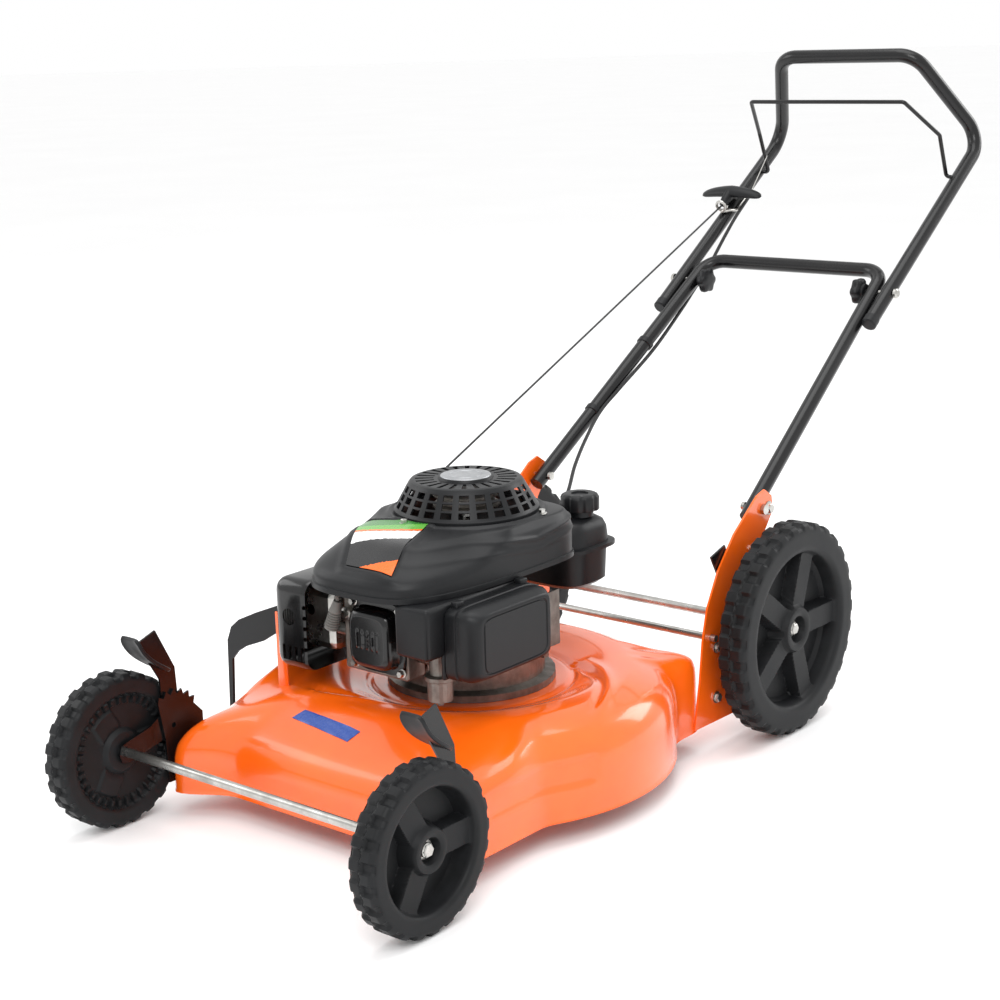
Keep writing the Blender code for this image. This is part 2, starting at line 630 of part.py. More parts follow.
def make_bail(black, steel):
    """Stop bail hinged in the upper tubes, and the wire from it to the stop cable."""
    pivot = on_handle(0.0, BAIL_AT)
    half = upper_x(BAIL_AT) - TUBE_R - 0.0015
    shoulder = pivot + Vector((half - 0.008, -0.0288, 0.0668))
    corner = pivot + Vector((0.138, -0.0978, 0.1212))
    tip = half + 0.0015 + TUBE_WALL + 0.003
    leg = [Vector((tip, pivot.y, pivot.z)), Vector((half - 0.009, pivot.y, pivot.z)), shoulder, corner]
    mirrored = [Vector((-p.x, p.y, p.z)) for p in reversed(leg)]
    path = [p - pivot for p in filleted(leg + mirrored, 0.0055, 3)]
    bail = sweep("stop_bail", path, BAIL_R, black, 8)
    bail.location = pivot
    hook = pivot.lerp(shoulder, HOOK_SHARE)
    hook.x = -half + 0.009
    start = hook + Vector((BAIL_R + WIRE_R + FIT, 0.0, 0.0))
    end = on_handle(-upper_x(0.66) + TUBE_R + 0.0105, 0.661, 0.004)
    cord("bail_wire", smooth_route([start, start.lerp(end, 0.5), end], 0.02), WIRE_R, steel)


def make_stop_cable(black):
    """Stop cable held along the right-hand tubes and down to the engine brake."""
    route = [on_handle(-upper_x(0.66) + TUBE_R + 0.0105, 0.660, 0.004)]
    for tube_x, along, gap, angle in ((upper_x, 0.610, 0.0080, -5.3), (upper_x, 0.575, 0.0059, 17.7),
                                      (upper_x, 0.545, 0.0077, 37.3), (lower_x, 0.500, 0.0057, 113.8),
                                      (lower_x, 0.450, 0.0044, 101.9), (lower_x, 0.400, 0.0029, 82.0),
                                      (lower_x, 0.300, 0.0028, 46.2), (lower_x, 0.200, 0.0010, 7.8),
                                      (lower_x, 0.143, 0.0010, -3.9)):
        away = TUBE_R + CABLE_R + gap
        turn = radians(angle)
        route.append(on_handle(away * cos(turn) - tube_x(along), along, -away * sin(turn)))
    for x, y, z in ((-0.145, 0.850, 0.363), (-0.110, 0.775, 0.339), (-0.070, 0.700, 0.312),
                    (-0.064, 0.650, 0.288), (-0.0675, 0.595, 0.2800), (-0.075, 0.5445, 0.2800)):
        route.append(Vector((x, FRONT_AXLE_Y + y, z)))
    cord("stop_cable", smooth_route(route, 0.030), CABLE_R, black)


def make_starter(black, steel):
    """Rope guide, T-grip and starter rope."""
    eye = on_handle(-upper_x(GUIDE_AT), GUIDE_AT, GUIDE_UP)
    exit_point = Vector((-0.0642, CRANK_Y + 0.0367, 0.4075))
    along = (eye - exit_point).normalized()
    side = along.cross(Vector((0.0, 0.0, 1.0))).normalized()
    up = side.cross(along)
    coil = []
    for k in range(19):
        angle = radians(-90.0 + 450.0 * k / 18)
        coil.append(eye + 0.0085 * (cos(angle) * side + sin(angle) * up) + along * (0.009 * (k / 18 - 0.5)))
    inner = upper_x(GUIDE_AT) - TUBE_R - 0.0034
    stem = [on_handle(-inner, GUIDE_AT + 0.050, 0.0), on_handle(-inner, GUIDE_AT + 0.018, 0.001),
            on_handle(-inner - 0.002, GUIDE_AT + 0.004, 0.0115)]
    sweep("rope_guide", stem + coil, 0.0024, steel, 8)
    cord("starter_rope", [exit_point.lerp(eye + along * 0.0038, k / 12) for k in range(13)], ROPE_R, black)
    grip_at = on_handle(-upper_x(GRIP_AT), GRIP_AT, TUBE_R + 0.0148)
    bar = [(0.0065, -0.058), (0.0105, -0.053), (0.0110, -0.030), (0.0125, 0.0), (0.0110, 0.030),
           (0.0105, 0.053), (0.0065, 0.058)]
    grip = turned("starter_grip", bar, black, grip_at, (1.0, 0.0, 0.0), 16)
    neck = [(0.0055, 0.0), (0.0075, 0.006), (0.0095, 0.020)]
    tip = eye + along * 0.0056
    boolean(grip, turned("grip_neck", neck, None, tip, grip_at - tip, 12), "UNION")


# ---------------------------------------------------------------- engine
def make_lower_engine(aluminium, black, steel):
    """Crankcase, cylinder, head, valve cover, crankshaft, flywheel and blade."""
    base = PLATFORM_Z + FIT
    bore = SHAFT_R + RUN
    case = [(bore, base), (0.112, base), (0.112, base + 0.009), (CRANKCASE_R, base + 0.012),
            (CRANKCASE_R, CASE_LEDGE_Z), (CRANKCASE_R - 0.008, CASE_LEDGE_Z),
            (CRANKCASE_R - 0.008, CRANKCASE_TOP - 0.008),
            (CRANKCASE_R - 0.018, CRANKCASE_TOP), (bore, CRANKCASE_TOP)]
    roof = CRANKCASE_TOP - CAST_WALL
    floor = base + CAST_WALL
    inside = CRANKCASE_R - 0.008 - CAST_WALL
    case += [(bore, roof), (inside - 0.012, roof), (inside, roof - 0.010), (inside, floor), (bore, floor)]
    crankcase = hollow_turned("crankcase", case, aluminium, CRANK, segments=32)
    block = []
    back = CRANK_Y - CRANKCASE_R - 2 * FIT
    pad_low = (-0.049, back + FIT, 0.160)
    pad_high = (0.049, CRANK_Y - inside - 0.0005, CRANKCASE_TOP - 0.006)
    boolean(crankcase, box("cylinder_pad", pad_low, pad_high, 0.0, None), "UNION")
    fin_pitch = 0.010
    fins = 5
    front = back - fins * fin_pitch
    for sign in (1, -1):
        row = []
        for k in range(fins):
            y = back - k * fin_pitch
            row += [(sign * 0.050, y), (sign * 0.050, y - 0.004), (sign * 0.036, y - 0.004)]
            row += [(sign * 0.036, y - fin_pitch)] if k < fins - 1 else []
        row += [(sign * 0.036, front)]
        block += row if sign > 0 else row[::-1]
    rings = [[Vector((x, y, z)) for x, y in block] for z in (CYLINDER_Z, CYLINDER_TOP)]
    loft("cylinder", rings, aluminium)
    head_front = front - FIT - HEAD_LENGTH
    box("cylinder_head", (-HEAD_HALF, head_front, 0.190), (HEAD_HALF, front - FIT, 0.292), 0.003, aluminium)
    cover_back = head_front - FIT
    cover_front = cover_back - ROCKER_DEPTH
    middle = (0.010, 0.243)
    rings = []
    for y, half_x, half_z in ((cover_back, 0.043, 0.047), (cover_back - 0.004, 0.043, 0.047),
                              (cover_back - 0.005, 0.034, 0.038), (cover_front + 0.006, 0.032, 0.036),
                              (cover_front, 0.024, 0.028)):
        ring = []
        for j in range(24):
            angle = 2.0 * pi * (j + 0.5) / 24
            c = cos(angle)
            s = sin(angle)
            reach = (abs(c) ** 5 + abs(s) ** 5) ** -0.2
            ring.append(Vector((middle[0] + half_x * reach * c, y, middle[1] + half_z * reach * s)))
        rings.append(ring)
    loft("valve_cover", rings, black)
    shaft_end = BLADE_Z + BLADE_T + 0.0045
    shaft = [(SHAFT_R, shaft_end), (SHAFT_R, 0.300), (0.010, 0.302), (0.010, 0.346), (0.007, 0.348),
             (0.007, 0.358)]
    turned("crankshaft", shaft, steel, CRANK)
    wheel = []
    for i in range(28):
        rim = 0.086 if i % 2 else 0.074
        loop = [(0.010 + RUN, 0.310), (0.070, 0.306), (rim, 0.306), (rim, 0.332), (0.068, 0.332),
                (0.060, 0.318), (0.022, 0.318), (0.020, 0.340), (0.010 + RUN, 0.340)]
        angle = 2.0 * pi * i / 28
        wheel.append([Vector((r * cos(angle), r * sin(angle), z)) for r, z in loop])
    flywheel = loft("flywheel", wheel, aluminium, around=True, sharp=30.0)
    flywheel.location = CRANK
    return head_front


def make_blade(steel, black):
    """Blade, its adapter and its bolt."""
    top = BLADE_Z + BLADE_T
    adapter = [(SHAFT_R + RUN, top + 0.0045), (SHAFT_R + RUN, 0.090), (0.020, 0.090), (0.022, 0.066),
               (0.033, 0.062), (0.033, top + FIT), (0.008, top + FIT), (0.008, top + 0.004)]
    hollow_turned("blade_adapter", adapter, steel, CRANK)
    rings = []
    stations = ((-BLADE_R, 0.022), (-0.190, 0.022), (-0.150, 0.0), (0.150, 0.0), (0.190, 0.022),
                (BLADE_R, 0.022))
    for x, lift in stations:
        half = BLADE_W / 2
        back = half if x < 0 else -half
        front = -back
        section = ((front, 0.0), (back * 0.45, 0.0), (back, lift), (back, lift + BLADE_T),
                   (back * 0.4, BLADE_T), (front, BLADE_T))
        ring = [Vector((x, y, z)) for y, z in section]
        if x > 0:
            ring = [Vector((x, v.y, v.z)) for v in (ring[2], ring[1], ring[0], ring[5], ring[4], ring[3])]
        rings.append(ring)
    blade = loft("blade", rings, steel)
    blade.location = (0.0, CRANK_Y, BLADE_Z)
    drill(blade, 0.0055, (0.0, CRANK_Y, BLADE_Z - 0.02), (0.0, CRANK_Y, BLADE_Z + 0.03))
    bolt = [(0.0085, -0.0085), (0.0085, -FIT), (0.0048, -FIT), (0.0048, BLADE_T + 0.0040)]
    turned("blade_bolt", bolt, black, (0.0, CRANK_Y, BLADE_Z), segments=12)


def housing_radius(angle):
    """Crankshaft axis to the blower housing's wall."""
    c = abs(cos(angle))
    s = sin(angle)
    reach = HOUSING_FRONT if s < 0.0 else HOUSING_BACK
    power = 3.4 if s < 0.0 else 5.0
    return ((c / HOUSING_HALF) ** power + (abs(s) / reach) ** power) ** (-1.0 / power)


def make_blower(black, silver):
    """Blower housing, recoil cover, recoil pulley and ignition coil."""
    rings = []
    segments = 36
    for i in range(segments):
        angle = 2.0 * pi * i / segments
        reach = housing_radius(angle)
        front = smoothstep(0.35, 0.95, -sin(angle))
        edge = HOUSING_TOP - 0.012 - 0.026 * front
        outer = [(COVER_R - 0.007, HOUSING_TOP), (COVER_R + 0.004, HOUSING_TOP)]
        outer += [(max(reach - 0.050 * front - 0.010, COVER_R + 0.006), HOUSING_TOP - 0.002 - 0.004 * front),
                  (reach - 0.003 - 0.004 * front, edge), (reach, edge - 0.010), (reach, HOUSING_BASE)]
        inner = offset_profile(outer, SHELL)
        inner[0] = (outer[0][0], outer[0][1] - SHELL)
        inner[-1] = (reach - SHELL, HOUSING_BASE)
        rings.append([Vector((r * cos(angle), r * sin(angle), z)) for r, z in outer + inner[::-1]])
    housing = loft("blower_housing", rings, black, around=True, sharp=35.0)
    housing.location = CRANK
    for side, sign in SIDES:
        foot = Vector((sign * 0.0668, CRANK_Y + 0.0668, CASE_LEDGE_Z + FIT))
        post = [(HINGE_R, 0.0), (HINGE_R, HOUSING_TOP - 0.001 - foot.z)]
        boolean(housing, turned(f"housing_post_{side}", post, None, foot, segments=12), "UNION")
    foot = HOUSING_TOP + FIT
    cover = [(0.0155, foot), (0.0155, 0.3716), (0.0117, 0.3716), (0.0117, 0.3904), (0.020, 0.3904),
             (0.020, 0.4055), (0.026, 0.4060), (COVER_TOP_R - 0.004, 0.4055), (COVER_R - 0.0035, foot),
             (COVER_R, foot),
             (COVER_R, foot + 0.004), (COVER_TOP_R + 0.0015, 0.4060), (COVER_TOP_R - 0.002, 0.4090),
             (0.036, 0.4085), (0.034, 0.4125), (0.031, 0.4130)]
    turned("recoil_cover", cover, black, CRANK, segments=28, sharp=30.0)
    pulley = [(0.012, 0.372), (0.044, 0.372), (0.044, 0.375), (0.037, 0.377), (0.037, 0.385), (0.044, 0.387),
              (0.044, 0.390), (0.012, 0.390)]
    hollow_turned("recoil_pulley", pulley, silver, CRANK)
    coil_low = (-0.020, CRANK_Y - 0.112, 0.305)
    coil = box("ignition_coil", coil_low, (0.020, CRANK_Y - 0.089, 0.330), 0.002, black)
    leg_low = (-0.006, CRANK_Y - 0.111, CYLINDER_TOP + FIT)
    boolean(coil, box("coil_leg", leg_low, (0.006, CRANK_Y - 0.100, 0.312), 0.0, None), "UNION")


def make_exhaust(black, steel, rubber, head_front):
    """Muffler, its guard, the spark plug with its boot and lead."""
    y = head_front
    sheet_t = 0.0018
    inset = Vector((sheet_t, sheet_t, sheet_t))
    can_low = Vector((-0.138, y + 0.010, 0.200))
    can_high = Vector((-0.078, y + 0.094, 0.284))
    can = box("muffler", can_low, can_high, 0.012, steel)
    boolean(can, box("muffler_core", can_low + inset, can_high - inset, 0.0105, None), "DIFFERENCE")
    outlet = Vector((-0.122, can_low.y + 0.010, 0.252))
    drill(can, 0.0075, outlet, outlet - Vector((0.0, 0.020, 0.0)))
    port = Vector((-HEAD_HALF - FIT, y + 0.022, 0.232))
    pipe = turned("exhaust_pipe", [(0.008, 0.0), (0.008, 0.030)], None, port, (-1.0, 0.0, 0.0), 16)
    boolean(can, pipe, "UNION")
    low = Vector((-0.153, y - 0.030, 0.180))
    high = Vector((-0.072, y + 0.100, HOUSING_BASE - 2 * FIT))
    guard = box("muffler_guard", low, high, 0.018, black, 3)
    hollow = box("guard_core", low + inset, (-0.040, y + 0.140, high.z - sheet_t), 0.016, None, 3)
    boolean(guard, hollow, "DIFFERENCE")
    mouth = Vector((-0.122, y - 0.020, 0.252))
    drill(guard, 0.011, mouth, mouth - Vector((0.0, 0.02, 0.0)))
    plug_at = Vector((-0.043, y - FIT, 0.264))
    plug = [(0.0085, 0.0), (0.0085, 0.006), (0.005, 0.0065), (0.005, 0.0105)]
    turned("spark_plug", plug, steel, plug_at, (0.0, -1.0, 0.0), 12)
    boot_low = plug_at + Vector((-0.013, -0.020, -0.018))
    boot_high = plug_at + Vector((-0.001, -0.0185, 0.020))
    boot_end = (boot_high - boot_low).length
    boot = [(0.0085, 0.0), (0.0098, 0.003), (0.0082, 0.026), (0.0062, 0.034), (0.0055, boot_end)]
    turned("spark_plug_boot", boot, rubber, boot_low, boot_high - boot_low, 16)
    rise = (boot_high - boot_low).normalized()
    start = boot_high + rise * 0.0020
    route = [start, start + rise * 0.008, Vector((-0.028, y + 0.020, 0.3005)),
             Vector((-0.012, y + 0.050, 0.308)), Vector((-0.006, CRANK_Y - 0.113, 0.314))]
    cord("ignition_lead", smooth_route(route, 0.006), 0.0030, rubber)


def make_intake(black, silver, foam, head_front):
    """Carburettor, air filter base, element and cover, and the control plate."""
    y = head_front
    carb_at = (0.083, y + 0.026, 0.0)
    carb = [(0.004, 0.160), (0.004, 0.166), (0.016, 0.167), (0.016, 0.192), (0.0195, 0.194), (0.0195, 0.199),
            (0.013, 0.201), (0.013, 0.236 - FIT)]
    carburettor = turned("carburettor", carb, silver, carb_at, segments=20)
    inlet = Vector((carb_at[0], carb_at[1], 0.216))
    stub = [(0.007, 0.0), (0.007, inlet.x - HEAD_HALF - FIT)]
    boolean(carburettor, turned("intake_stub", stub, None, inlet, (-1.0, 0.0, 0.0), 16), "UNION")
    base_low = (0.064, y - 0.034, 0.236)
    base_high = (0.118, y + 0.150, HOUSING_BASE - FIT)
    box("air_filter_base", base_low, base_high, 0.004, black)
    low = Vector((0.1184, y - 0.004, 0.204))
    high = Vector((0.166, y + 0.157, 0.298))
    rim = 0.013
    cover = box("air_filter_cover", low - Vector((rim, 0.0, 0.0)), high, rim, black, 1)
    wall = Vector((0.0, SHELL, SHELL))
    space_low = low - Vector((0.02, 0.0, 0.0)) + wall
    space_high = high - wall - Vector((SHELL, 0.0, 0.0))
    hollow = box("filter_space", space_low, space_high, 0.011, None, 1)
    boolean(cover, hollow, "DIFFERENCE")
    margin = Vector((0.0, 0.010, 0.010))
    trim_low = low - margin - Vector((0.040, 0.0, 0.0))
    trim = box("cover_trim", trim_low, (low.x, high.y + margin.y, high.z + margin.z), 0.0, None)
    boolean(cover, trim, "DIFFERENCE")
    inset = Vector((0.0, 0.012, 0.012))
    box("air_filter_element", low + inset, high - Vector((0.012, 0.012, 0.012)), 0.002, foam)
    plate_y = CRANK_Y + 0.022
    plate = box("control_plate", (0.1045, plate_y, 0.188), (0.1065, plate_y + 0.034, 0.2620), 0.0, silver)
    foot_low = (CRANKCASE_R - 0.0018, plate_y, 0.176)
    boolean(plate, box("plate_foot", foot_low, (0.1060, plate_y + 0.010, 0.191), 0.0, None), "UNION")


def make_tank(black, steel):
    """Fuel tank behind the engine, its cap, the oil filler and its dipstick."""
    y = FRONT_AXLE_Y
    middle = Vector((0.012, y + 0.5665, 0.0))
    rings = []
    levels = ((0.232, 0.060, 0.040), (0.240, 0.066, 0.046), (0.286, 0.068, 0.048), (0.2865, 0.078, 0.0575),
              (0.2915, 0.078, 0.0575), (0.292, 0.070, 0.050), (0.318, 0.066, 0.046), (0.328, 0.056, 0.036))
    for z, half_x, half_y in levels:
        ring = []
        for j in range(20):
            angle = 2.0 * pi * j / 20
            c = cos(angle)
            s = sin(angle)
            reach = (abs(c) ** 4 + abs(s) ** 4) ** -0.25
            ring.append(Vector((middle.x + half_x * reach * c, middle.y + half_y * reach * s, z)))
        rings.append(ring)
    tank = loft("fuel_tank", rings, black, sharp=30.0)
    lug_low = (-0.012, CRANK_Y + HOUSING_BACK + FIT, 0.304)
    lug_high = (0.036, middle.y, 0.3165)
    boolean(tank, box("tank_lug", lug_low, lug_high, 0.0, None), "UNION")
    cap_at = Vector((middle.x + 0.040, middle.y + 0.006, 0.328 + FIT))
    cap = []
    for radius, height in ((0.018, 0.0), (0.0185, 0.008), (0.0265, 0.009), (0.0265, 0.027), (0.022, 0.031)):
        ring = []
        for j in range(36):
            angle = 2.0 * pi * j / 36
            knurl = 1.0 if j % 3 or radius < 0.025 else 0.93
            ring.append(Vector((radius * knurl * cos(angle), radius * knurl * sin(angle), height)))
        cap.append(ring)
    place(loft("fuel_cap", cap, black, sharp=30.0), cap_at)
    neck_low = Vector((-CRANKCASE_R - 0.0030, CRANK_Y + 0.012, 0.176))
    elbow = neck_low + Vector((-0.0280, 0.0, 0.010))
    route = filleted([neck_low, elbow, elbow + Vector((0.0, 0.0, 0.075))], 0.012)
    sweep("oil_filler_tube", route, 0.010, black)
    top = route[-1] + Vector((0.0, 0.0, FIT))
    dip = [(0.0095, 0.0), (0.014, 0.002), (0.014, 0.012), (0.010, 0.014), (0.004, 0.016), (0.004, 0.026)]
    turned("dipstick", dip, black, top, (0.0, 0.0, 1.0), 16)
    pin = Vector((-0.052, CRANK_Y + 0.058, CRANKCASE_TOP + FIT))
    stem = [(0.005, 0.0), (0.005, 0.040), (0.007, 0.0405), (0.007, 0.050)]
    post = turned("brake_lever", stem, steel, pin, segments=16)
    arm_end = Vector((-0.075, y + 0.5405, 0.0))
    direction = (arm_end - Vector((pin.x, pin.y, 0.0))).normalized()
    across = direction.cross(Vector((0.0, 0.0, 1.0))) * 0.006
    reach = (arm_end - Vector((pin.x, pin.y, 0.0))).length
    near = pin - direction * 0.004
    far = pin + direction * reach
    rings = []
    for height in (0.042, 0.045):
        lift = Vector((0.0, 0.0, height))
        rings.append([near + across + lift, far + across * 0.6 + lift, far - across * 0.6 + lift,
                      near - across + lift])
    boolean(post, loft("brake_arm", rings, None), "UNION")


def main():
    """Build the mower."""
    for old in list(bpy.data.objects):
        bpy.data.objects.remove(old, do_unlink=True)
    orange = material("orange_enamel", (1.0, 0.19, 0.03), 0.2)
    black = material("black_plastic", (0.02, 0.02, 0.022), 0.45)
    tube_black = material("black_powder_coat", (0.012, 0.012, 0.013), 0.3)
    wheel_black = material("wheel_plastic", (0.03, 0.03, 0.032), 0.6)
    steel = material("bright_steel", (0.55, 0.54, 0.52), 0.3, 1.0)
    aluminium = material("cast_aluminium", (0.32, 0.32, 0.33), 0.5, 1.0)
    rubber = material("grey_rubber", (0.35, 0.34, 0.33), 0.7)
    foam = material("filter_foam", (0.25, 0.2, 0.12), 0.9)
    deck = make_deck(orange)
    make_discharge_guard(black, deck)
    make_wheels(wheel_black)
    make_axles(steel)
    make_front_levers(tube_black)
    make_rear_brackets(orange, tube_black, steel)
    make_handles(tube_black, steel)
    make_bail(tube_black, steel)
    make_stop_cable(black)
    make_starter(black, steel)
    head_front = make_lower_engine(aluminium, black, steel)
    make_blade(steel, tube_black)
    make_blower(black, aluminium)
    make_exhaust(tube_black, steel, rubber, head_front)
    make_intake(black, aluminium, foam, head_front)
    make_tank(black, steel)


main()
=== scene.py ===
"""Walk-behind petrol rotary lawn mower: the surfaces that show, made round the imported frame.

Metres, +Z up. The front of the mower faces -Y and the operator's left is +X. Every class takes its place from
the frame's boxes and adds pieces that ride on the frame's bodies.
"""
import logging
from dataclasses import dataclass, field
from enum import Enum
from functools import lru_cache
from math import acos, cos, pi, radians, sin, sqrt, tan
from typing import Any, Callable, Sequence

import bpy
import numpy as np
from mathutils import Matrix, Vector


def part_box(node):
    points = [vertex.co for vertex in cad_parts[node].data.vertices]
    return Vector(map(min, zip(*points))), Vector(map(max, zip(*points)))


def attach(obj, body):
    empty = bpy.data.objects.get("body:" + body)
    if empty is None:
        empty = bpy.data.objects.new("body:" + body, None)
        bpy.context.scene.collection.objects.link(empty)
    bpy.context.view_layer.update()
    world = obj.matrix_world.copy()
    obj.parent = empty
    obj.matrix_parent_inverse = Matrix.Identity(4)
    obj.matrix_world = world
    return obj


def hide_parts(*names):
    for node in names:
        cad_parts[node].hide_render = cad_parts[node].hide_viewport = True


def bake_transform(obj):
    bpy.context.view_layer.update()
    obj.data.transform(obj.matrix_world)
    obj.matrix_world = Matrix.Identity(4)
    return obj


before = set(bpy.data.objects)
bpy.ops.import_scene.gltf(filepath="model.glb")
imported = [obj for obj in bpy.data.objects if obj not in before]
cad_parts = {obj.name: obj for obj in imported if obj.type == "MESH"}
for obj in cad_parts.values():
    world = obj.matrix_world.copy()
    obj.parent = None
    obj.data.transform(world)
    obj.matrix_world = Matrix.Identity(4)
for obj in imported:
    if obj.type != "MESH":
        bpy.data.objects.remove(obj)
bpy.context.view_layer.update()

log = logging.getLogger("mower")
Piece = bpy.types.Object
Share = Callable[[np.ndarray, np.ndarray], np.ndarray]
Triple = tuple[float, float, float]
UP: Triple = (0.0, 0.0, 1.0)


class Side(Enum):
    """Which side of the middle plane a piece is on, as the sign of its X."""

    LEFT = 1
    RIGHT = -1


# ---------------------------------------------------------------- finishes
def linear(code: str) -> tuple[float, float, float, float]:
    """Turn an sRGB hex colour into the linear colour that shaders use.

    Args:
        code: Six hex digits with a leading hash.

    Returns:
        Linear red, green, blue and an alpha of one.
    """
    parts = [int(code[i:i + 2], 16) / 255.0 for i in (1, 3, 5)]
    red, green, blue = [p / 12.92 if p <= 0.04045 else ((p + 0.055) / 1.055) ** 2.4 for p in parts]
    return (red, green, blue, 1.0)


def add_node(tree: Any, kind: str, links: dict[str, Any] | None = None, values: dict[str, Any] | None = None,
             **settings: Any) -> Any:
    """Add one shader node with its settings, values and incoming links.

    Args:
        tree: The material's node tree.
        kind: The node's type name.
        links: Input name to the output socket that feeds it.
        values: Input name to the constant set on that socket.
        **settings: Properties of the node itself.

    Returns:
        The new node.
    """
    node = tree.nodes.new(kind)
    for key, value in settings.items():
        setattr(node, key, value)
    for key, value in (values or {}).items():
        node.inputs[key].default_value = value
    for key, socket in (links or {}).items():
        tree.links.new(socket, node.inputs[key])
    return node


@dataclass(frozen=True)
class Finish:
    """A real material and how its surface was made.

    Args:
        name: Common name of the material and its process.
        slot: The record's material slot; not used.
        colour: Main sRGB colour.
        shade: Second sRGB colour of the slow variation.
        roughness: Middle of the roughness.
        spread: How far the roughness wanders.
        metallic: 1 for bare metal.
        coat: Clear gloss layer.
        grain_mm: Spacing of the fine surface grain.
        grain: Height of the fine grain in millimetres.
        patch_mm: Size of the slow variation.
        wave: Height of the slow waviness in millimetres, as orange peel or sink marks.
        stretch: Squeeze of the grain along X, Y and Z, for drawn or brushed metal.
        gloss: Specular level, lower where a fine texture breaks up the reflection.
    """

    name: str
    slot: str
    colour: str
    shade: str
    roughness: float
    spread: float = 0.08
    metallic: float = 0.0
    coat: float = 0.0
    grain_mm: float = 0.8
    grain: float = 0.02
    patch_mm: float = 70.0
    wave: float = 0.0
    stretch: Triple = (1.0, 1.0, 1.0)
    gloss: float = 0.5


# Stoving enamel on pressed steel: a clear orange, hard gloss and a little orange peel.
ENAMEL = Finish("orange_stoving_enamel", "orange_paint", "#FF6A12", "#F75F0A", 0.22, 0.05, coat=0.7,
                grain_mm=3.0, grain=0.004, patch_mm=140.0, wave=0.02)
# Powder coat on tube and sheet: black with a soft sheen and a fine pebble.
POWDER = Finish("black_powder_coat", "black_paint", "#0C0C0D", "#121213", 0.25, 0.06, coat=0.12,
                grain_mm=1.2, grain=0.012, gloss=0.35)
# Gloss black covers: deep paint on moulded or pressed parts.
GLOSS = Finish("gloss_black_paint", "gloss_black", "#09090A", "#101011", 0.2, 0.06, coat=0.2,
               grain_mm=2.0, grain=0.008, wave=0.02, gloss=0.4)
# Spark-eroded ABS of the blower housing: charcoal with a fine satin texture.
MOULDED = Finish("moulded_abs_charcoal", "black_plastic", "#121315", "#18191B", 0.4, 0.07, grain_mm=0.9,
                 grain=0.03, gloss=0.28)
# Polypropylene wheel mouldings: dull, slightly dusty black.
WHEEL = Finish("moulded_polypropylene", "wheel_plastic", "#141516", "#1C1D1F", 0.5, 0.1, grain_mm=1.4,
               grain=0.05, patch_mm=40.0, gloss=0.22)
# Bright zinc on drawn bar: drawing lines run along the bar.
ZINC = Finish("bright_zinc_plated_steel", "bright_steel", "#C9C8C4", "#A5A39E", 0.3, 0.12, 1.0, grain_mm=1.2,
              grain=0.012, patch_mm=25.0, stretch=(0.04, 1.0, 1.0))
# Die-cast aluminium: pale grey, rough and a little uneven.
CAST = Finish("die_cast_aluminium", "cast_aluminium", "#8F8A84", "#6F6A65", 0.5, 0.12, 1.0, grain_mm=1.0,
              grain=0.05, patch_mm=22.0)
# Pressed silver disc: fine turned lines.
DISC = Finish("satin_anodised_aluminium", "cast_aluminium", "#B9BBBD", "#A3A5A8", 0.36, 0.08, 1.0,
              grain_mm=0.9, grain=0.015, patch_mm=15.0)
# Silicone boot: grey and matt.
RUBBER = Finish("moulded_grey_silicone", "grey_rubber", "#6E6C68", "#5C5A57", 0.65, 0.08, grain_mm=1.0,
                grain=0.03)
# Cable jacket and rope: dull black polymer.
JACKET = Finish("extruded_black_jacket", "cable_jacket", "#0F0F10", "#171718", 0.55, 0.08, grain_mm=1.0,
                grain=0.05)
# Open-cell filter foam: dull ochre, with pores deep enough to break up the surface.
FOAM = Finish("open_cell_filter_foam", "filter_foam", "#8A7752", "#5F5138", 0.95, 0.05, grain_mm=1.6,
              grain=0.6)


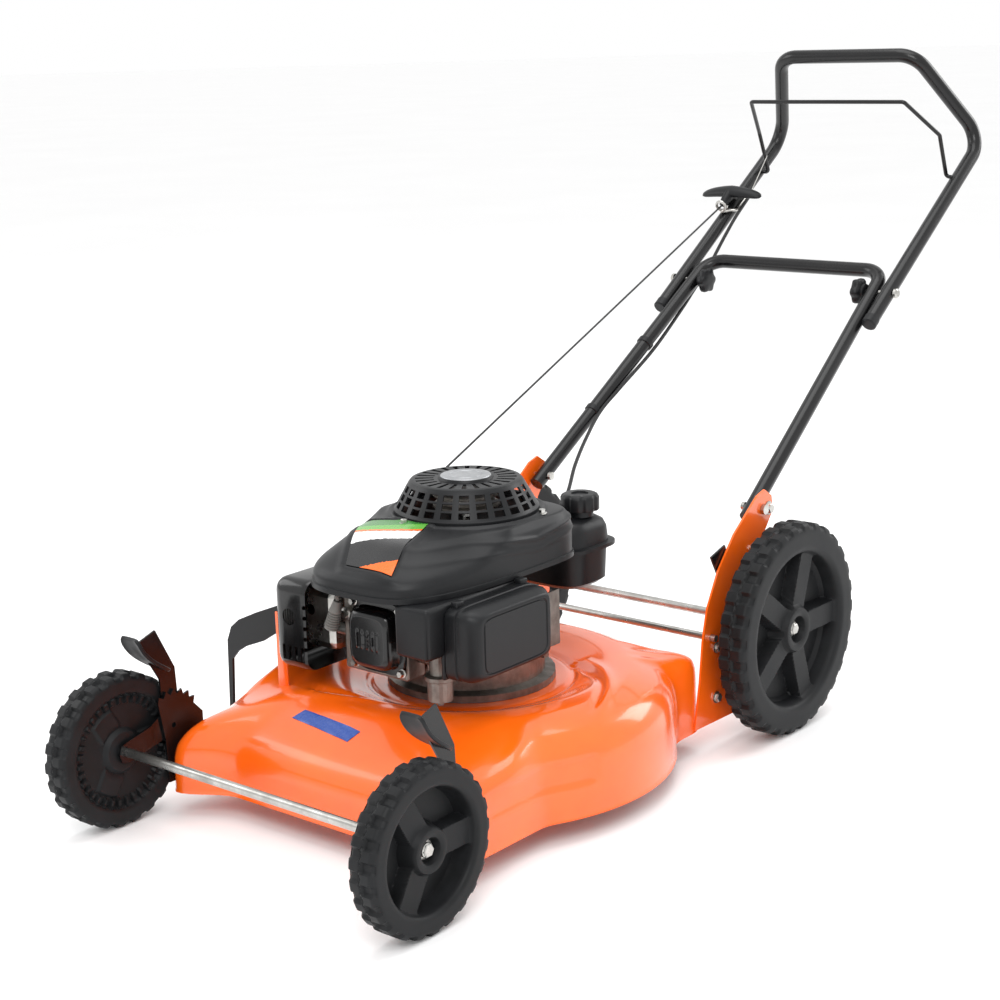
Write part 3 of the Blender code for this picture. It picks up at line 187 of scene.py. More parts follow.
@lru_cache(maxsize=None)
def material_of(finish: Finish) -> bpy.types.Material:
    """Build a finish's nodes once.

    Args:
        finish: The finish to build.

    Returns:
        The material, shared by every piece of that finish.
    """
    mat = bpy.data.materials.new(finish.name)
    mat.use_nodes = True
    tree = mat.node_tree
    shader = tree.nodes["Principled BSDF"]
    shader.inputs["Metallic"].default_value = finish.metallic
    shader.inputs["Specular IOR Level"].default_value = finish.gloss
    shader.inputs["Coat Weight"].default_value = finish.coat
    shader.inputs["Coat Roughness"].default_value = 0.08
    place = add_node(tree, "ShaderNodeTexCoord").outputs["Object"]
    patch = add_node(tree, "ShaderNodeTexNoise", {"Vector": place},
                     {"Scale": 1000.0 / finish.patch_mm, "Detail": 4.0, "Roughness": 0.6}).outputs["Fac"]
    ramp = add_node(tree, "ShaderNodeValToRGB", {"Fac": patch})
    ramp.color_ramp.elements[0].position = 0.35
    ramp.color_ramp.elements[1].position = 0.68
    ramp.color_ramp.elements[0].color = linear(finish.colour)
    ramp.color_ramp.elements[1].color = linear(finish.shade)
    tree.links.new(ramp.outputs["Color"], shader.inputs["Base Color"])
    drawn = add_node(tree, "ShaderNodeMapping", {"Vector": place},
                     {"Scale": finish.stretch}).outputs["Vector"]
    grain = add_node(tree, "ShaderNodeTexNoise", {"Vector": drawn},
                     {"Scale": 1000.0 / finish.grain_mm, "Detail": 3.0, "Roughness": 0.55}).outputs["Fac"]
    rough = add_node(tree, "ShaderNodeMapRange", {"Value": patch},
                     {"From Min": 0.3, "From Max": 0.7, "To Min": finish.roughness - finish.spread / 2.0,
                      "To Max": finish.roughness + finish.spread / 2.0})
    tree.links.new(rough.outputs["Result"], shader.inputs["Roughness"])
    bump = add_node(tree, "ShaderNodeBump", {"Height": grain},
                    {"Strength": 1.0, "Distance": finish.grain / 1000.0})
    if finish.wave > 0.0:
        peel = add_node(tree, "ShaderNodeTexNoise", {"Vector": place}, {"Scale": 1000.0 / 9.0, "Detail": 1.0})
        bump = add_node(tree, "ShaderNodeBump",
                        {"Height": peel.outputs["Fac"], "Normal": bump.outputs["Normal"]},
                        {"Strength": 1.0, "Distance": finish.wave / 1000.0})
    tree.links.new(bump.outputs["Normal"], shader.inputs["Normal"])
    return mat


@dataclass(frozen=True)
class StripeFinish:
    """Printed vinyl label: plain bands along one direction, with a grassy first band.

    Args:
        name: Name of the material.
        start: Point where the bands begin.
        along: Direction across the bands, one unit per whole label.
        bands: Share of the length and sRGB colour of each band.
    """

    name: str
    start: Triple
    along: Triple
    bands: tuple[tuple[float, str], ...]

    def build(self) -> bpy.types.Material:
        """Build the label's nodes.

        Returns:
            A glossy vinyl material.
        """
        mat = bpy.data.materials.new(self.name)
        mat.use_nodes = True
        tree = mat.node_tree
        shader = tree.nodes["Principled BSDF"]
        shader.inputs["Coat Weight"].default_value = 0.3
        place = add_node(tree, "ShaderNodeTexCoord").outputs["Object"]
        moved = add_node(tree, "ShaderNodeVectorMath", {0: place}, {1: self.start}, operation="SUBTRACT")
        length = sum(c * c for c in self.along)
        share = add_node(tree, "ShaderNodeVectorMath", {0: moved.outputs["Vector"]},
                         {1: tuple(c / length for c in self.along)}, operation="DOT_PRODUCT")
        blades = add_node(tree, "ShaderNodeTexNoise", {"Vector": place}, {"Scale": 260.0, "Detail": 3.0})
        ragged = add_node(tree, "ShaderNodeMath", {0: blades.outputs["Fac"], 2: share.outputs["Value"]},
                          {1: 0.05}, operation="MULTIPLY_ADD")
        ramp = add_node(tree, "ShaderNodeValToRGB", {"Fac": ragged.outputs["Value"]})
        ramp.color_ramp.interpolation = "CONSTANT"
        points = ramp.color_ramp.elements
        points[0].color = linear(self.bands[0][1])
        points.remove(points[1])
        for position, code in self.bands[1:]:
            points.new(position).color = linear(code)
        tree.links.new(ramp.outputs["Color"], shader.inputs["Base Color"])
        gloss = add_node(tree, "ShaderNodeMapRange", {"Value": blades.outputs["Fac"]},
                         {"To Min": 0.2, "To Max": 0.34})
        tree.links.new(gloss.outputs["Result"], shader.inputs["Roughness"])
        return mat


# ---------------------------------------------------------------- modelling by operators
def deselect() -> None:
    """Go to object mode with nothing selected."""
    current = bpy.context.view_layer.objects.active
    if current is not None and current.mode != "OBJECT":
        bpy.ops.object.mode_set(mode="OBJECT")
    bpy.ops.object.select_all(action="DESELECT")


def take(piece: Piece) -> None:
    """Make one piece the only selected and the active one.

    Args:
        piece: The piece to work on.
    """
    deselect()
    piece.select_set(True)
    bpy.context.view_layer.objects.active = piece


def seal(piece: Piece) -> None:
    """Merge a mesh's doubled seam and poles and turn its faces outwards.

    Args:
        piece: The piece to close.
    """
    take(piece)
    bpy.ops.object.mode_set(mode="EDIT")
    bpy.ops.mesh.select_all(action="SELECT")
    bpy.ops.mesh.remove_doubles(threshold=0.00001)
    bpy.ops.mesh.dissolve_degenerate(threshold=0.000005)
    bpy.ops.mesh.select_all(action="SELECT")
    bpy.ops.mesh.normals_make_consistent(inside=False)
    bpy.ops.object.mode_set(mode="OBJECT")


def modify(piece: Piece, kind: str, **settings: Any) -> None:
    """Add one modifier and apply it.

    Args:
        piece: The piece to change.
        kind: Type of the modifier.
        **settings: Its properties.
    """
    take(piece)
    modifier = piece.modifiers.new(kind.lower(), kind)
    for key, value in settings.items():
        setattr(modifier, key, value)
    bpy.ops.object.modifier_apply(modifier=modifier.name)


def turns(steps: int) -> np.ndarray:
    """Angles once round; the last is exactly the first, so that a seam closes."""
    angle = np.linspace(0.0, 2.0 * pi, steps + 1)
    angle[-1] = 0.0
    return angle


def net(rows: np.ndarray, columns: np.ndarray) -> tuple[np.ndarray, np.ndarray]:
    """Spread two sets of stations over rows and columns."""
    down, across = np.meshgrid(rows, columns, indexing="ij")
    return down, across


def mirrored(half: Sequence[Vector]) -> list[Vector]:
    """Follow half a route with its mirror image across the middle plane."""
    return [*half, *(Vector((-p.x, p.y, p.z)) for p in reversed(half))]


def height_over(points: np.ndarray, x: np.ndarray, y: np.ndarray, nearest: int, soft: float) -> np.ndarray:
    """Find a surface's height over plan points from its nearest points.

    Args:
        points: Points of the surface, one a row.
        x: Plan X of each point asked for.
        y: Plan Y of each point asked for.
        nearest: How many surface points share in each height.
        soft: Squared distance that keeps the weights finite.

    Returns:
        Heights in the shape of x.
    """
    found = []
    for spot in np.stack([x.ravel(), y.ravel()], axis=-1):
        gap = ((points[:, :2] - spot) ** 2).sum(axis=1)
        near = np.argpartition(gap, nearest)[:nearest]
        weight = 1.0 / (gap[near] + soft)
        found.append((points[near, 2] * weight).sum() / weight.sum())
    return np.array(found).reshape(x.shape)


def wrapped(name: str, target: np.ndarray, gone: np.ndarray | None = None) -> Piece:
    """Add a grid and move each of its points to a place on the real surface.

    Args:
        name: Name of the piece.
        target: Places of the grid's points, as rows by columns by three.
        gone: True for each grid face that is left out, as rows by columns.

    Returns:
        The piece, sealed where its edges meet.
    """
    rows = target.shape[0] - 1
    columns = target.shape[1] - 1
    deselect()
    bpy.ops.mesh.primitive_grid_add(x_subdivisions=columns, y_subdivisions=rows, size=1.0)
    piece = bpy.context.object
    piece.name = name
    mesh = piece.data
    mesh.name = name
    if gone is not None:
        middle = np.empty(len(mesh.polygons) * 3, np.float32)
        mesh.polygons.foreach_get("center", middle)
        across = np.floor((middle[0::3] + 0.5) * columns).astype(int)
        down = np.floor((middle[1::3] + 0.5) * rows).astype(int)
        mesh.vertices.foreach_set("select", np.zeros(len(mesh.vertices), bool))
        mesh.edges.foreach_set("select", np.zeros(len(mesh.edges), bool))
        mesh.polygons.foreach_set("select", gone[down, across])
        bpy.context.tool_settings.mesh_select_mode = (False, False, True)
        bpy.ops.object.mode_set(mode="EDIT")
        bpy.ops.mesh.delete(type="FACE")
        bpy.ops.object.mode_set(mode="OBJECT")
    spots = np.empty(len(mesh.vertices) * 3, np.float32)
    mesh.vertices.foreach_get("co", spots)
    across = np.rint((spots[0::3] + 0.5) * columns).astype(int)
    down = np.rint((spots[1::3] + 0.5) * rows).astype(int)
    mesh.vertices.foreach_set("co", target[down, across].astype(np.float32).ravel())
    mesh.update()
    seal(piece)
    return piece


def block(name: str, low: Sequence[float], high: Sequence[float], bevel: float, segments: int = 3) -> Piece:
    """Add a cube at its size and place and round its edges.

    Args:
        name: Name of the piece.
        low: Lowest corner.
        high: Highest corner.
        bevel: Radius of the rounded edges.
        segments: Steps of the rounding.

    Returns:
        The piece.
    """
    deselect()
    centre = (Vector(low) + Vector(high)) / 2.0
    size = Vector(high) - Vector(low)
    bpy.ops.mesh.primitive_cube_add(size=1.0, location=centre, scale=size)
    piece = bpy.context.object
    piece.name = name
    piece.data.name = name
    bpy.ops.object.transform_apply(location=True, rotation=True, scale=True)
    if bevel > 0.0:
        modify(piece, "BEVEL", width=bevel, segments=segments, limit_method="ANGLE")
    return piece


def turned_grid(profile: Sequence[tuple[float, float]], origin: Sequence[float], axis: Sequence[float],
                segments: int, lobes: Share | None = None) -> np.ndarray:
    """Work out the points of a turned surface.

    Args:
        profile: (radius, height) points; a radius of nought closes an end.
        origin: Foot of the axis.
        axis: Direction of the axis.
        segments: Steps round the axis.
        lobes: Radius factor from (angle, radius), for knurls and flutes.

    Returns:
        Rows by columns by three.
    """
    radius = np.array([p[0] for p in profile])[:, None]
    height = np.array([p[1] for p in profile])[:, None]
    angle = np.broadcast_to(turns(segments), (len(profile), segments + 1))
    reach = radius * (lobes(angle, radius) if lobes else 1.0)
    local = np.stack([reach * np.cos(angle), reach * np.sin(angle), height + 0.0 * angle], axis=-1)
    turn = np.array(Vector(axis).to_track_quat("Z", "Y").to_matrix())
    return local @ turn.T + np.array(origin)


def turned(name: str, profile: Sequence[tuple[float, float]], origin: Sequence[float],
           axis: Sequence[float] = UP, segments: int = 32, lobes: Share | None = None) -> Piece:
    """Model a turned solid with both ends closed on the axis.

    Args:
        name: Name of the piece.
        profile: (radius, height) points from one end to the other.
        origin: Foot of the axis.
        axis: Direction of the axis.
        segments: Steps round the axis.
        lobes: Radius factor from (angle, radius).

    Returns:
        The piece.
    """
    closed = [(0.0, profile[0][1]), *profile, (0.0, profile[-1][1])]
    return wrapped(name, turned_grid(closed, origin, axis, segments, lobes))


def swept(name: str, route: Sequence[Sequence[float]], radius: float, sides: int = 20) -> Piece:
    """Model a round bar along a route, closed at both ends.

    Args:
        name: Name of the piece.
        route: Points of the centre line.
        radius: Radius of the bar.
        sides: Steps round the bar.

    Returns:
        The piece.
    """
    points = [Vector(p) for p in route]
    angle = turns(sides)
    rings: list[np.ndarray] = []
    normal = None
    before = None
    for i, point in enumerate(points):
        tangent = (points[min(i + 1, len(points) - 1)] - points[max(i - 1, 0)]).normalized()
        if normal is None or before is None:
            normal = tangent.orthogonal().normalized()
        else:
            normal = (before.rotation_difference(tangent) @ normal).normalized()
        before = tangent
        side = tangent.cross(normal)
        ring = np.outer(np.cos(angle), normal) + np.outer(np.sin(angle), side)
        if i == 0:
            rings.append(np.broadcast_to(np.array(point), (sides + 1, 3)))
        rings.append(np.array(point) + radius * ring)
    rings.append(np.broadcast_to(np.array(points[-1]), (sides + 1, 3)))
    return wrapped(name, np.stack(rings))


def cut(piece: Piece, cutter: Piece) -> None:
    """Cut a piece with another, which is used up.

    Args:
        piece: The piece that stays.
        cutter: The piece that is used up.
    """
    modify(piece, "BOOLEAN", object=cutter, operation="DIFFERENCE", solver="EXACT")
    bpy.data.objects.remove(cutter, do_unlink=True)


def merge(name: str, parts: Sequence[Piece]) -> Piece:
    """Join several bodies that are fixed together into one piece.

    Args:
        name: Name of the whole.
        parts: The bodies; the first takes in the others.

    Returns:
        The joined piece.
    """
    take(parts[0])
    for part in parts[1:]:
        part.select_set(True)
    bpy.ops.object.join()
    parts[0].name = name
    parts[0].data.name = name
    return parts[0]


def bolt(origin: Sequence[float], axis: Sequence[float], across: float = 0.010, height: float = 0.005,
         washer: float = 0.0) -> Piece:
    """Model a hexagon bolt head with a chamfered top, over a washer where one is given.

    Args:
        origin: Middle of the face that the head rests on.
        axis: Direction in which the head stands out.
        across: Width across the flats.
        height: Height of the head.
        washer: Radius of the washer, or nought.

    Returns:
        The piece.
    """
    corner = across / sqrt(3.0)
    foot = 0.0012 if washer > 0.0 else 0.0
    head = [(corner, foot), (corner, foot + height * 0.82), (corner * 0.84, foot + height)]
    parts = [turned("bolt", head, origin, axis, 6)]
    if washer > 0.0:
        disc = [(washer, 0.0), (washer, 0.001), (washer * 0.93, foot)]
        parts.append(turned("washer", disc, origin, axis, 28))
    return merge("bolt", parts)


def finish_piece(piece: Piece, finish: Finish | StripeFinish, body: str, stands_for: Sequence[str] = (),
                 smooth: float = 38.0) -> Piece:
    """Shade a piece, give it its finish, and let it ride on its body.

    Args:
        piece: The finished mesh.
        finish: Its finish.
        body: Name of the frame's body, empty for a piece left on no body, such as one that spans two.
        stands_for: CAD nodes that it replaces.
        smooth: Largest angle in degrees across which faces shade smooth.

    Returns:
        The piece.
    """
    take(piece)
    bpy.ops.object.shade_smooth_by_angle(angle=radians(smooth))
    piece.data.materials.clear()
    if isinstance(finish, Finish):
        piece.data.materials.append(material_of(finish))
    else:
        piece.data.materials.append(finish.build())
    if body:
        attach(piece, body)
    if stands_for:
        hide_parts(*stands_for)
    log.info("%s: %d faces on %s", piece.name, len(piece.data.polygons), body or "two bodies")
    return piece


def ramp(low: float, high: float, value: np.ndarray) -> np.ndarray:
    """Rise smoothly from 0 at low to 1 at high."""
    share = np.clip((value - low) / (high - low), 0.0, 1.0)
    return share * share * (3.0 - 2.0 * share)


def hump(distance: np.ndarray, width: float) -> np.ndarray:
    """Give 1 on a line and fall to 0 at about twice the width from it."""
    return np.exp(-((distance / width) ** 2))


def softened(values: np.ndarray, sigma: float, axis: int, around: bool = False) -> np.ndarray:
    """Round the corners of sampled shapes with a Gaussian.

    Args:
        values: Samples.
        sigma: Width of the Gaussian in samples.
        axis: Direction along which it works.
        around: True where the last sample meets the first.

    Returns:
        The rounded samples.
    """
    half = int(3 * sigma) + 1
    kernel = np.exp(-0.5 * (np.arange(-half, half + 1) / sigma) ** 2)
    kernel /= kernel.sum()
    pad = [(0, 0)] * values.ndim
    pad[axis] = (half, half)
    if around:
        core = np.take(values, range(values.shape[axis] - 1), axis=axis)
        wide = np.pad(core, pad, mode="wrap")
    else:
        wide = np.pad(values, pad, mode="reflect", reflect_type="odd")
    out = np.apply_along_axis(lambda line: np.convolve(line, kernel, "valid"), axis, wide)
    if around:
        first = np.take(out, [0], axis=axis)
        out = np.concatenate([out, first], axis=axis)
    return out


def sampled(knots: np.ndarray, counts: Sequence[int]) -> np.ndarray:
    """Divide each stretch between knots into a number of equal steps.

    Args:
        knots: Knot values along the first axis.
        counts: Steps in each stretch.

    Returns:
        Samples along the first axis.
    """
    rows = [knots[0]]
    for i, count in enumerate(counts):
        for k in range(1, count + 1):
            share = k / count
            rows.append(knots[i] * (1.0 - share) + knots[i + 1] * share)
    return np.stack(rows)


def filleted(points: Sequence[Vector], radius: float, steps: int = 10) -> list[Vector]:
    """Round a polyline's inner corners with arcs of one radius.

    Args:
        points: Corners from end to end.
        radius: Radius of the arcs.
        steps: Steps of each arc.

    Returns:
        The rounded route.
    """
    path = [points[0]]
    for i in range(1, len(points) - 1):
        back = (points[i - 1] - points[i]).normalized()
        ahead = (points[i + 1] - points[i]).normalized()
        half = acos(max(-1.0, min(1.0, back.dot(ahead)))) / 2.0
        middle = points[i] + (back + ahead).normalized() * (radius / sin(half))
        first = points[i] + back * (radius / tan(half)) - middle
        last = points[i] + ahead * (radius / tan(half)) - middle
        span = first.angle(last)
        for k in range(steps + 1):
            share = k / steps
            arm = first * sin((1.0 - share) * span) + last * sin(share * span)
            path.append(middle + arm / sin(span))
    path.append(points[-1])
    return path


def smooth_route(points: Sequence[Vector], spacing: float) -> list[Vector]:
    """Sample a Catmull-Rom curve through a route at an even spacing.

    Args:
        points: Places that the curve goes through.
        spacing: Longest step, in metres.

    Returns:
        The sampled route.
    """
    ends = [2.0 * points[0] - points[1], *points, 2.0 * points[-1] - points[-2]]
    fine: list[Vector] = []
    for i in range(1, len(ends) - 2):
        p0, p1, p2, p3 = ends[i - 1:i + 3]
        steps = max(2, int((p2 - p1).length / spacing) + 1)
        for k in range(steps):
            t = k / steps
            fine.append(0.5 * (2.0 * p1 + (p2 - p0) * t + (2.0 * p0 - 5.0 * p1 + 4.0 * p2 - p3) * t * t
                               + (3.0 * p1 - p0 - 3.0 * p2 + p3) * t * t * t))
    fine.append(points[-1])
    return fine


def centre_of(node: str) -> Vector:
    """Middle of a CAD node's box."""
    low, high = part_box(node)
    return (low + high) / 2.0


CRANK = centre_of("crankshaft")
FRONT_AXLE = centre_of("front_axle")
REAR_AXLE = centre_of("rear_axle")


# ---------------------------------------------------------------- carried-over pieces
@dataclass
class Dressing:
    """Finishes of the CAD nodes that show as they are."""

    finishes: dict[Finish, tuple[str, ...]] = field(default_factory=lambda: {
        ENAMEL: ("deck", "rear_bracket_left", "rear_bracket_right"),
        POWDER: ("front_lever_left", "front_lever_right", "front_quadrant_left", "front_quadrant_right",
                 "rear_lever_left", "rear_lever_right", "lower_handle", "upper_handle", "stop_bail",
                 "blade_bolt"),
        GLOSS: ("valve_cover", "muffler_guard"),
        MOULDED: ("discharge_guard", "blower_housing", "recoil_cover", "air_filter_base", "air_filter_cover",
                  "fuel_tank", "fuel_cap", "dipstick", "oil_filler_tube", "starter_grip", "fold_knob_left",
                  "fold_knob_right", "ignition_coil"),
        WHEEL: ("front_wheel_left", "front_wheel_right", "rear_wheel_left", "rear_wheel_right"),
        ZINC: ("front_axle", "rear_axle", "rear_tie_rod", "fold_bolt_left", "fold_bolt_right",
               "handle_bolt_left", "handle_bolt_right", "rope_guide", "bail_wire", "crankshaft",
               "brake_lever", "spark_plug", "blade", "blade_adapter", "muffler"),
        CAST: ("crankcase", "cylinder", "cylinder_head", "flywheel", "recoil_pulley", "carburettor",
               "control_plate"),
        RUBBER: ("spark_plug_boot", "ignition_lead"),
        JACKET: ("starter_rope", "stop_cable"),
        FOAM: ("air_filter_element",),
    })

    def build(self) -> None:
        """Give every CAD node its finish."""
        for finish, names in self.finishes.items():
            for name in names:
                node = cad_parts[name]
                node.data.materials.clear()
                node.data.materials.append(material_of(finish))
        log.info("dressed %d nodes", sum(len(names) for names in self.finishes.values()))


# ---------------------------------------------------------------- deck
@dataclass
class Deck:
    """Pressed steel deck with its swirl grooves, corner pods and discharge mouth."""

    radius: float = 0.270
    sheet: float = 0.0026
    skirt_z: float = 0.030
    platform_z: float = 0.138
    crest_z: float = 0.153
    nose_half: float = 0.2312
    tail_half: float = 0.1996
    back: float = 0.397
    pod_front: float = 0.057
    nose_front: float = 0.097
    tail_back: float = 0.645
    columns: int = 336
    groove: float = 0.0042
    groove_turn: float = radians(66.0)
    hinge_inset: float = 0.007
    hinge_z: float = 0.233
    ear_wall: float = 0.003

    def reach(self, angle: np.ndarray) -> np.ndarray:
        """Crankshaft axis to the skirt in plan at each angle.

        Args:
            angle: Angles round the crankshaft.

        Returns:
            Distance at each angle.
        """
        c = np.cos(angle)
        s = np.sin(angle)
        away = np.maximum(np.abs(s), 1e-6)
        wide = np.maximum(np.abs(c), 1e-6)
        across = (self.back - self.nose_front) / away * c
        depth = self.nose_front - (self.nose_front - self.pod_front) * ramp(0.155, 0.190, np.abs(across))
        nose = np.minimum((self.back - depth) / away, self.nose_half / wide)
        tail = np.minimum((self.tail_back - self.back) / away, self.tail_half / wide)
        return np.maximum(self.radius, np.where(s < 0.0, nose, tail))

    def shell(self) -> np.ndarray:
        """Points of the deck's outer face, from the crankshaft hole to the skirt's edge.

        Returns:
            Rows by columns by three.
        """
        angle = np.linspace(0.0, 2.0 * pi, self.columns + 1)
        fine = np.linspace(0.0, 2.0 * pi, 2881)
        sharp = self.reach(fine)
        rounded = softened(sharp, 14.0, 0, around=True)
        reach = np.interp(angle, fine, rounded)
        front = ramp(0.55, 0.85, -np.sin(angle))
        pod = ramp(0.005, 0.035, reach - self.radius) * (1.0 - front)
        flat = np.ones_like(angle)
        knots = [(0.036 * flat, self.platform_z * flat), (0.128 * flat, self.platform_z * flat),
                 (0.150 * flat, (self.platform_z + 0.003) * flat), (0.182 * flat, self.crest_z * flat),
                 (0.212 * flat, self.crest_z - 0.003 * front)]
        drops = ((0.045, 0.149, 0.122, 0.142), (0.020, 0.138, 0.108, 0.140), (0.005, 0.118, 0.092, 0.133),
                 (0.0, 0.095, 0.074, 0.118))
        for inset, round_z, front_z, pod_z in drops:
            knots.append((reach - inset, round_z + (front_z - round_z) * front + (pod_z - round_z) * pod))
        knots.append((reach + 0.0006, (self.skirt_z + 0.004) * flat))
        knots.append((reach + 0.0018, self.skirt_z * flat))
        counts = (16, 10, 12, 10, 10, 8, 7, 7, 18, 2)
        r = sampled(np.stack([k[0] for k in knots]), counts)
        z = sampled(np.stack([k[1] for k in knots]), counts)
        r = np.concatenate([softened(r[:-4], 2.2, 0), r[-4:]])
        z = np.concatenate([softened(z[:-4], 2.2, 0), z[-4:]])
        x = r * np.cos(angle)
        y = r * np.sin(angle)
        z = z + self.relief(x, y, r, np.broadcast_to(angle, r.shape))
        self.recess(x, y, z, r)
        points = np.stack([x + CRANK.x, y + CRANK.y, z], axis=-1)
        points[:, -1] = points[:, 0]
        return points

    def relief(self, x: np.ndarray, y: np.ndarray, r: np.ndarray, angle: np.ndarray) -> np.ndarray:
        """Height of the pressed grooves, the discharge tunnel and the front panels.

        Args:
            x: Plan X from the crankshaft.
            y: Plan Y from the crankshaft.
            r: Distance from the crankshaft.
            angle: Angle round the crankshaft.

        Returns:
            Height to add.
        """
        rise = -0.0035 * hump(r - 0.136, 0.0050)
        for start in (56.0, -64.0, 176.0):
            turn = (radians(start) - angle) % (2.0 * pi)
            share = turn / self.groove_turn
            line = 0.141 + 0.088 * np.clip(share, 0.0, 1.0) ** 1.5
            fade = ramp(0.0, 0.08, share) * (1.0 - ramp(0.85, 1.05, share))
            rise = rise - self.groove * hump(r - line, 0.0055) * fade
            rise = rise + 0.0025 * hump(r - line - 0.013, 0.0075) * fade
        tunnel = hump(x + 0.225, 0.052) * hump(y + 0.105, 0.070)
        rise = rise + 0.024 * tunnel * ramp(0.10, 0.16, r)
        return rise

    def recess(self, x: np.ndarray, y: np.ndarray, z: np.ndarray, r: np.ndarray) -> None:
        """Press the long shallow panel into the left skirt.

        Args:
            x: Plan X, changed in place.
            y: Plan Y, changed in place.
            z: Heights.
            r: Distance from the crankshaft.
        """
        angle = np.degrees(np.arctan2(y, x))
        window = ramp(-50.0, -46.0, angle) * (1.0 - ramp(-18.0, -14.0, angle))
        window = window * ramp(0.070, 0.078, z) * (1.0 - ramp(0.100, 0.110, z)) * ramp(0.2, 0.25, r)
        scale = 1.0 - 0.0035 * window / np.maximum(r, 0.01)
        x *= scale
        y *= scale

    def build(self) -> None:
        """Model the deck, its ears and its plain badge."""
        deck = wrapped("deck_shell", self.shell())
        modify(deck, "SOLIDIFY", thickness=self.sheet, offset=-1.0)
        mouth = block("mouth", (CRANK.x - self.radius - 0.03, CRANK.y - 0.185, 0.01),
                      (CRANK.x + 0.080 - self.radius, CRANK.y - 0.035, 0.116), 0.006)
        cut(deck, mouth)
        guard_low, guard_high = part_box("discharge_guard")
        ears = []
        pivot_x = guard_high.x - self.hinge_inset
        for end, way in ((guard_low.y, -1.0), (guard_high.y, 1.0)):
            near = end + way * 0.0004
            far = near + way * self.ear_wall
            ears.append(block("ear", (pivot_x - 0.009, min(near, far), self.platform_z + 0.001),
                              (pivot_x + 0.009, max(near, far), self.hinge_z + 0.010), 0.001))
            ears.append(turned("pin", [(0.003, 0.0), (0.003, 0.0105)],
                               (pivot_x, end - way * 0.008, self.hinge_z), (0.0, way, 0.0), 20))
        finish_piece(merge("deck_shell", [deck, *ears]), ENAMEL, "root", ("deck",))
        self.badge()

    def badge(self) -> None:
        """Model the plain blue tab that lies on the front shoulder."""
        v, u = net(np.linspace(0.0, 1.0, 7), np.linspace(0.0, 1.0, 23))
        x = -0.0953 + 0.1060 * u + 0.008 * v
        y = FRONT_AXLE.y + 0.1548 - 0.0105 * u + 0.016 * v
        z = self.surface(x, y) + 0.0010
        piece = wrapped("front_tab", np.stack([x, y, z], axis=-1))
        modify(piece, "SOLIDIFY", thickness=0.0008, offset=-1.0)
        blue = StripeFinish("printed_blue_vinyl", (0.0, 0.0, 0.0), (1.0, 0.0, 0.0),
                            ((0.0, "#17479E"), (0.9, "#17479E")))
        finish_piece(piece, blue, "root")

    def surface(self, x: np.ndarray, y: np.ndarray) -> np.ndarray:
        """Height of the deck's outer face over plan points near its front.

        Args:
            x: Plan X of each point.
            y: Plan Y of each point.

        Returns:
            Heights in the shape of x.
        """
        points = self.shell().reshape(-1, 3)
        return height_over(points[points[:, 2] > 0.09], x, y, 6, 1e-8)


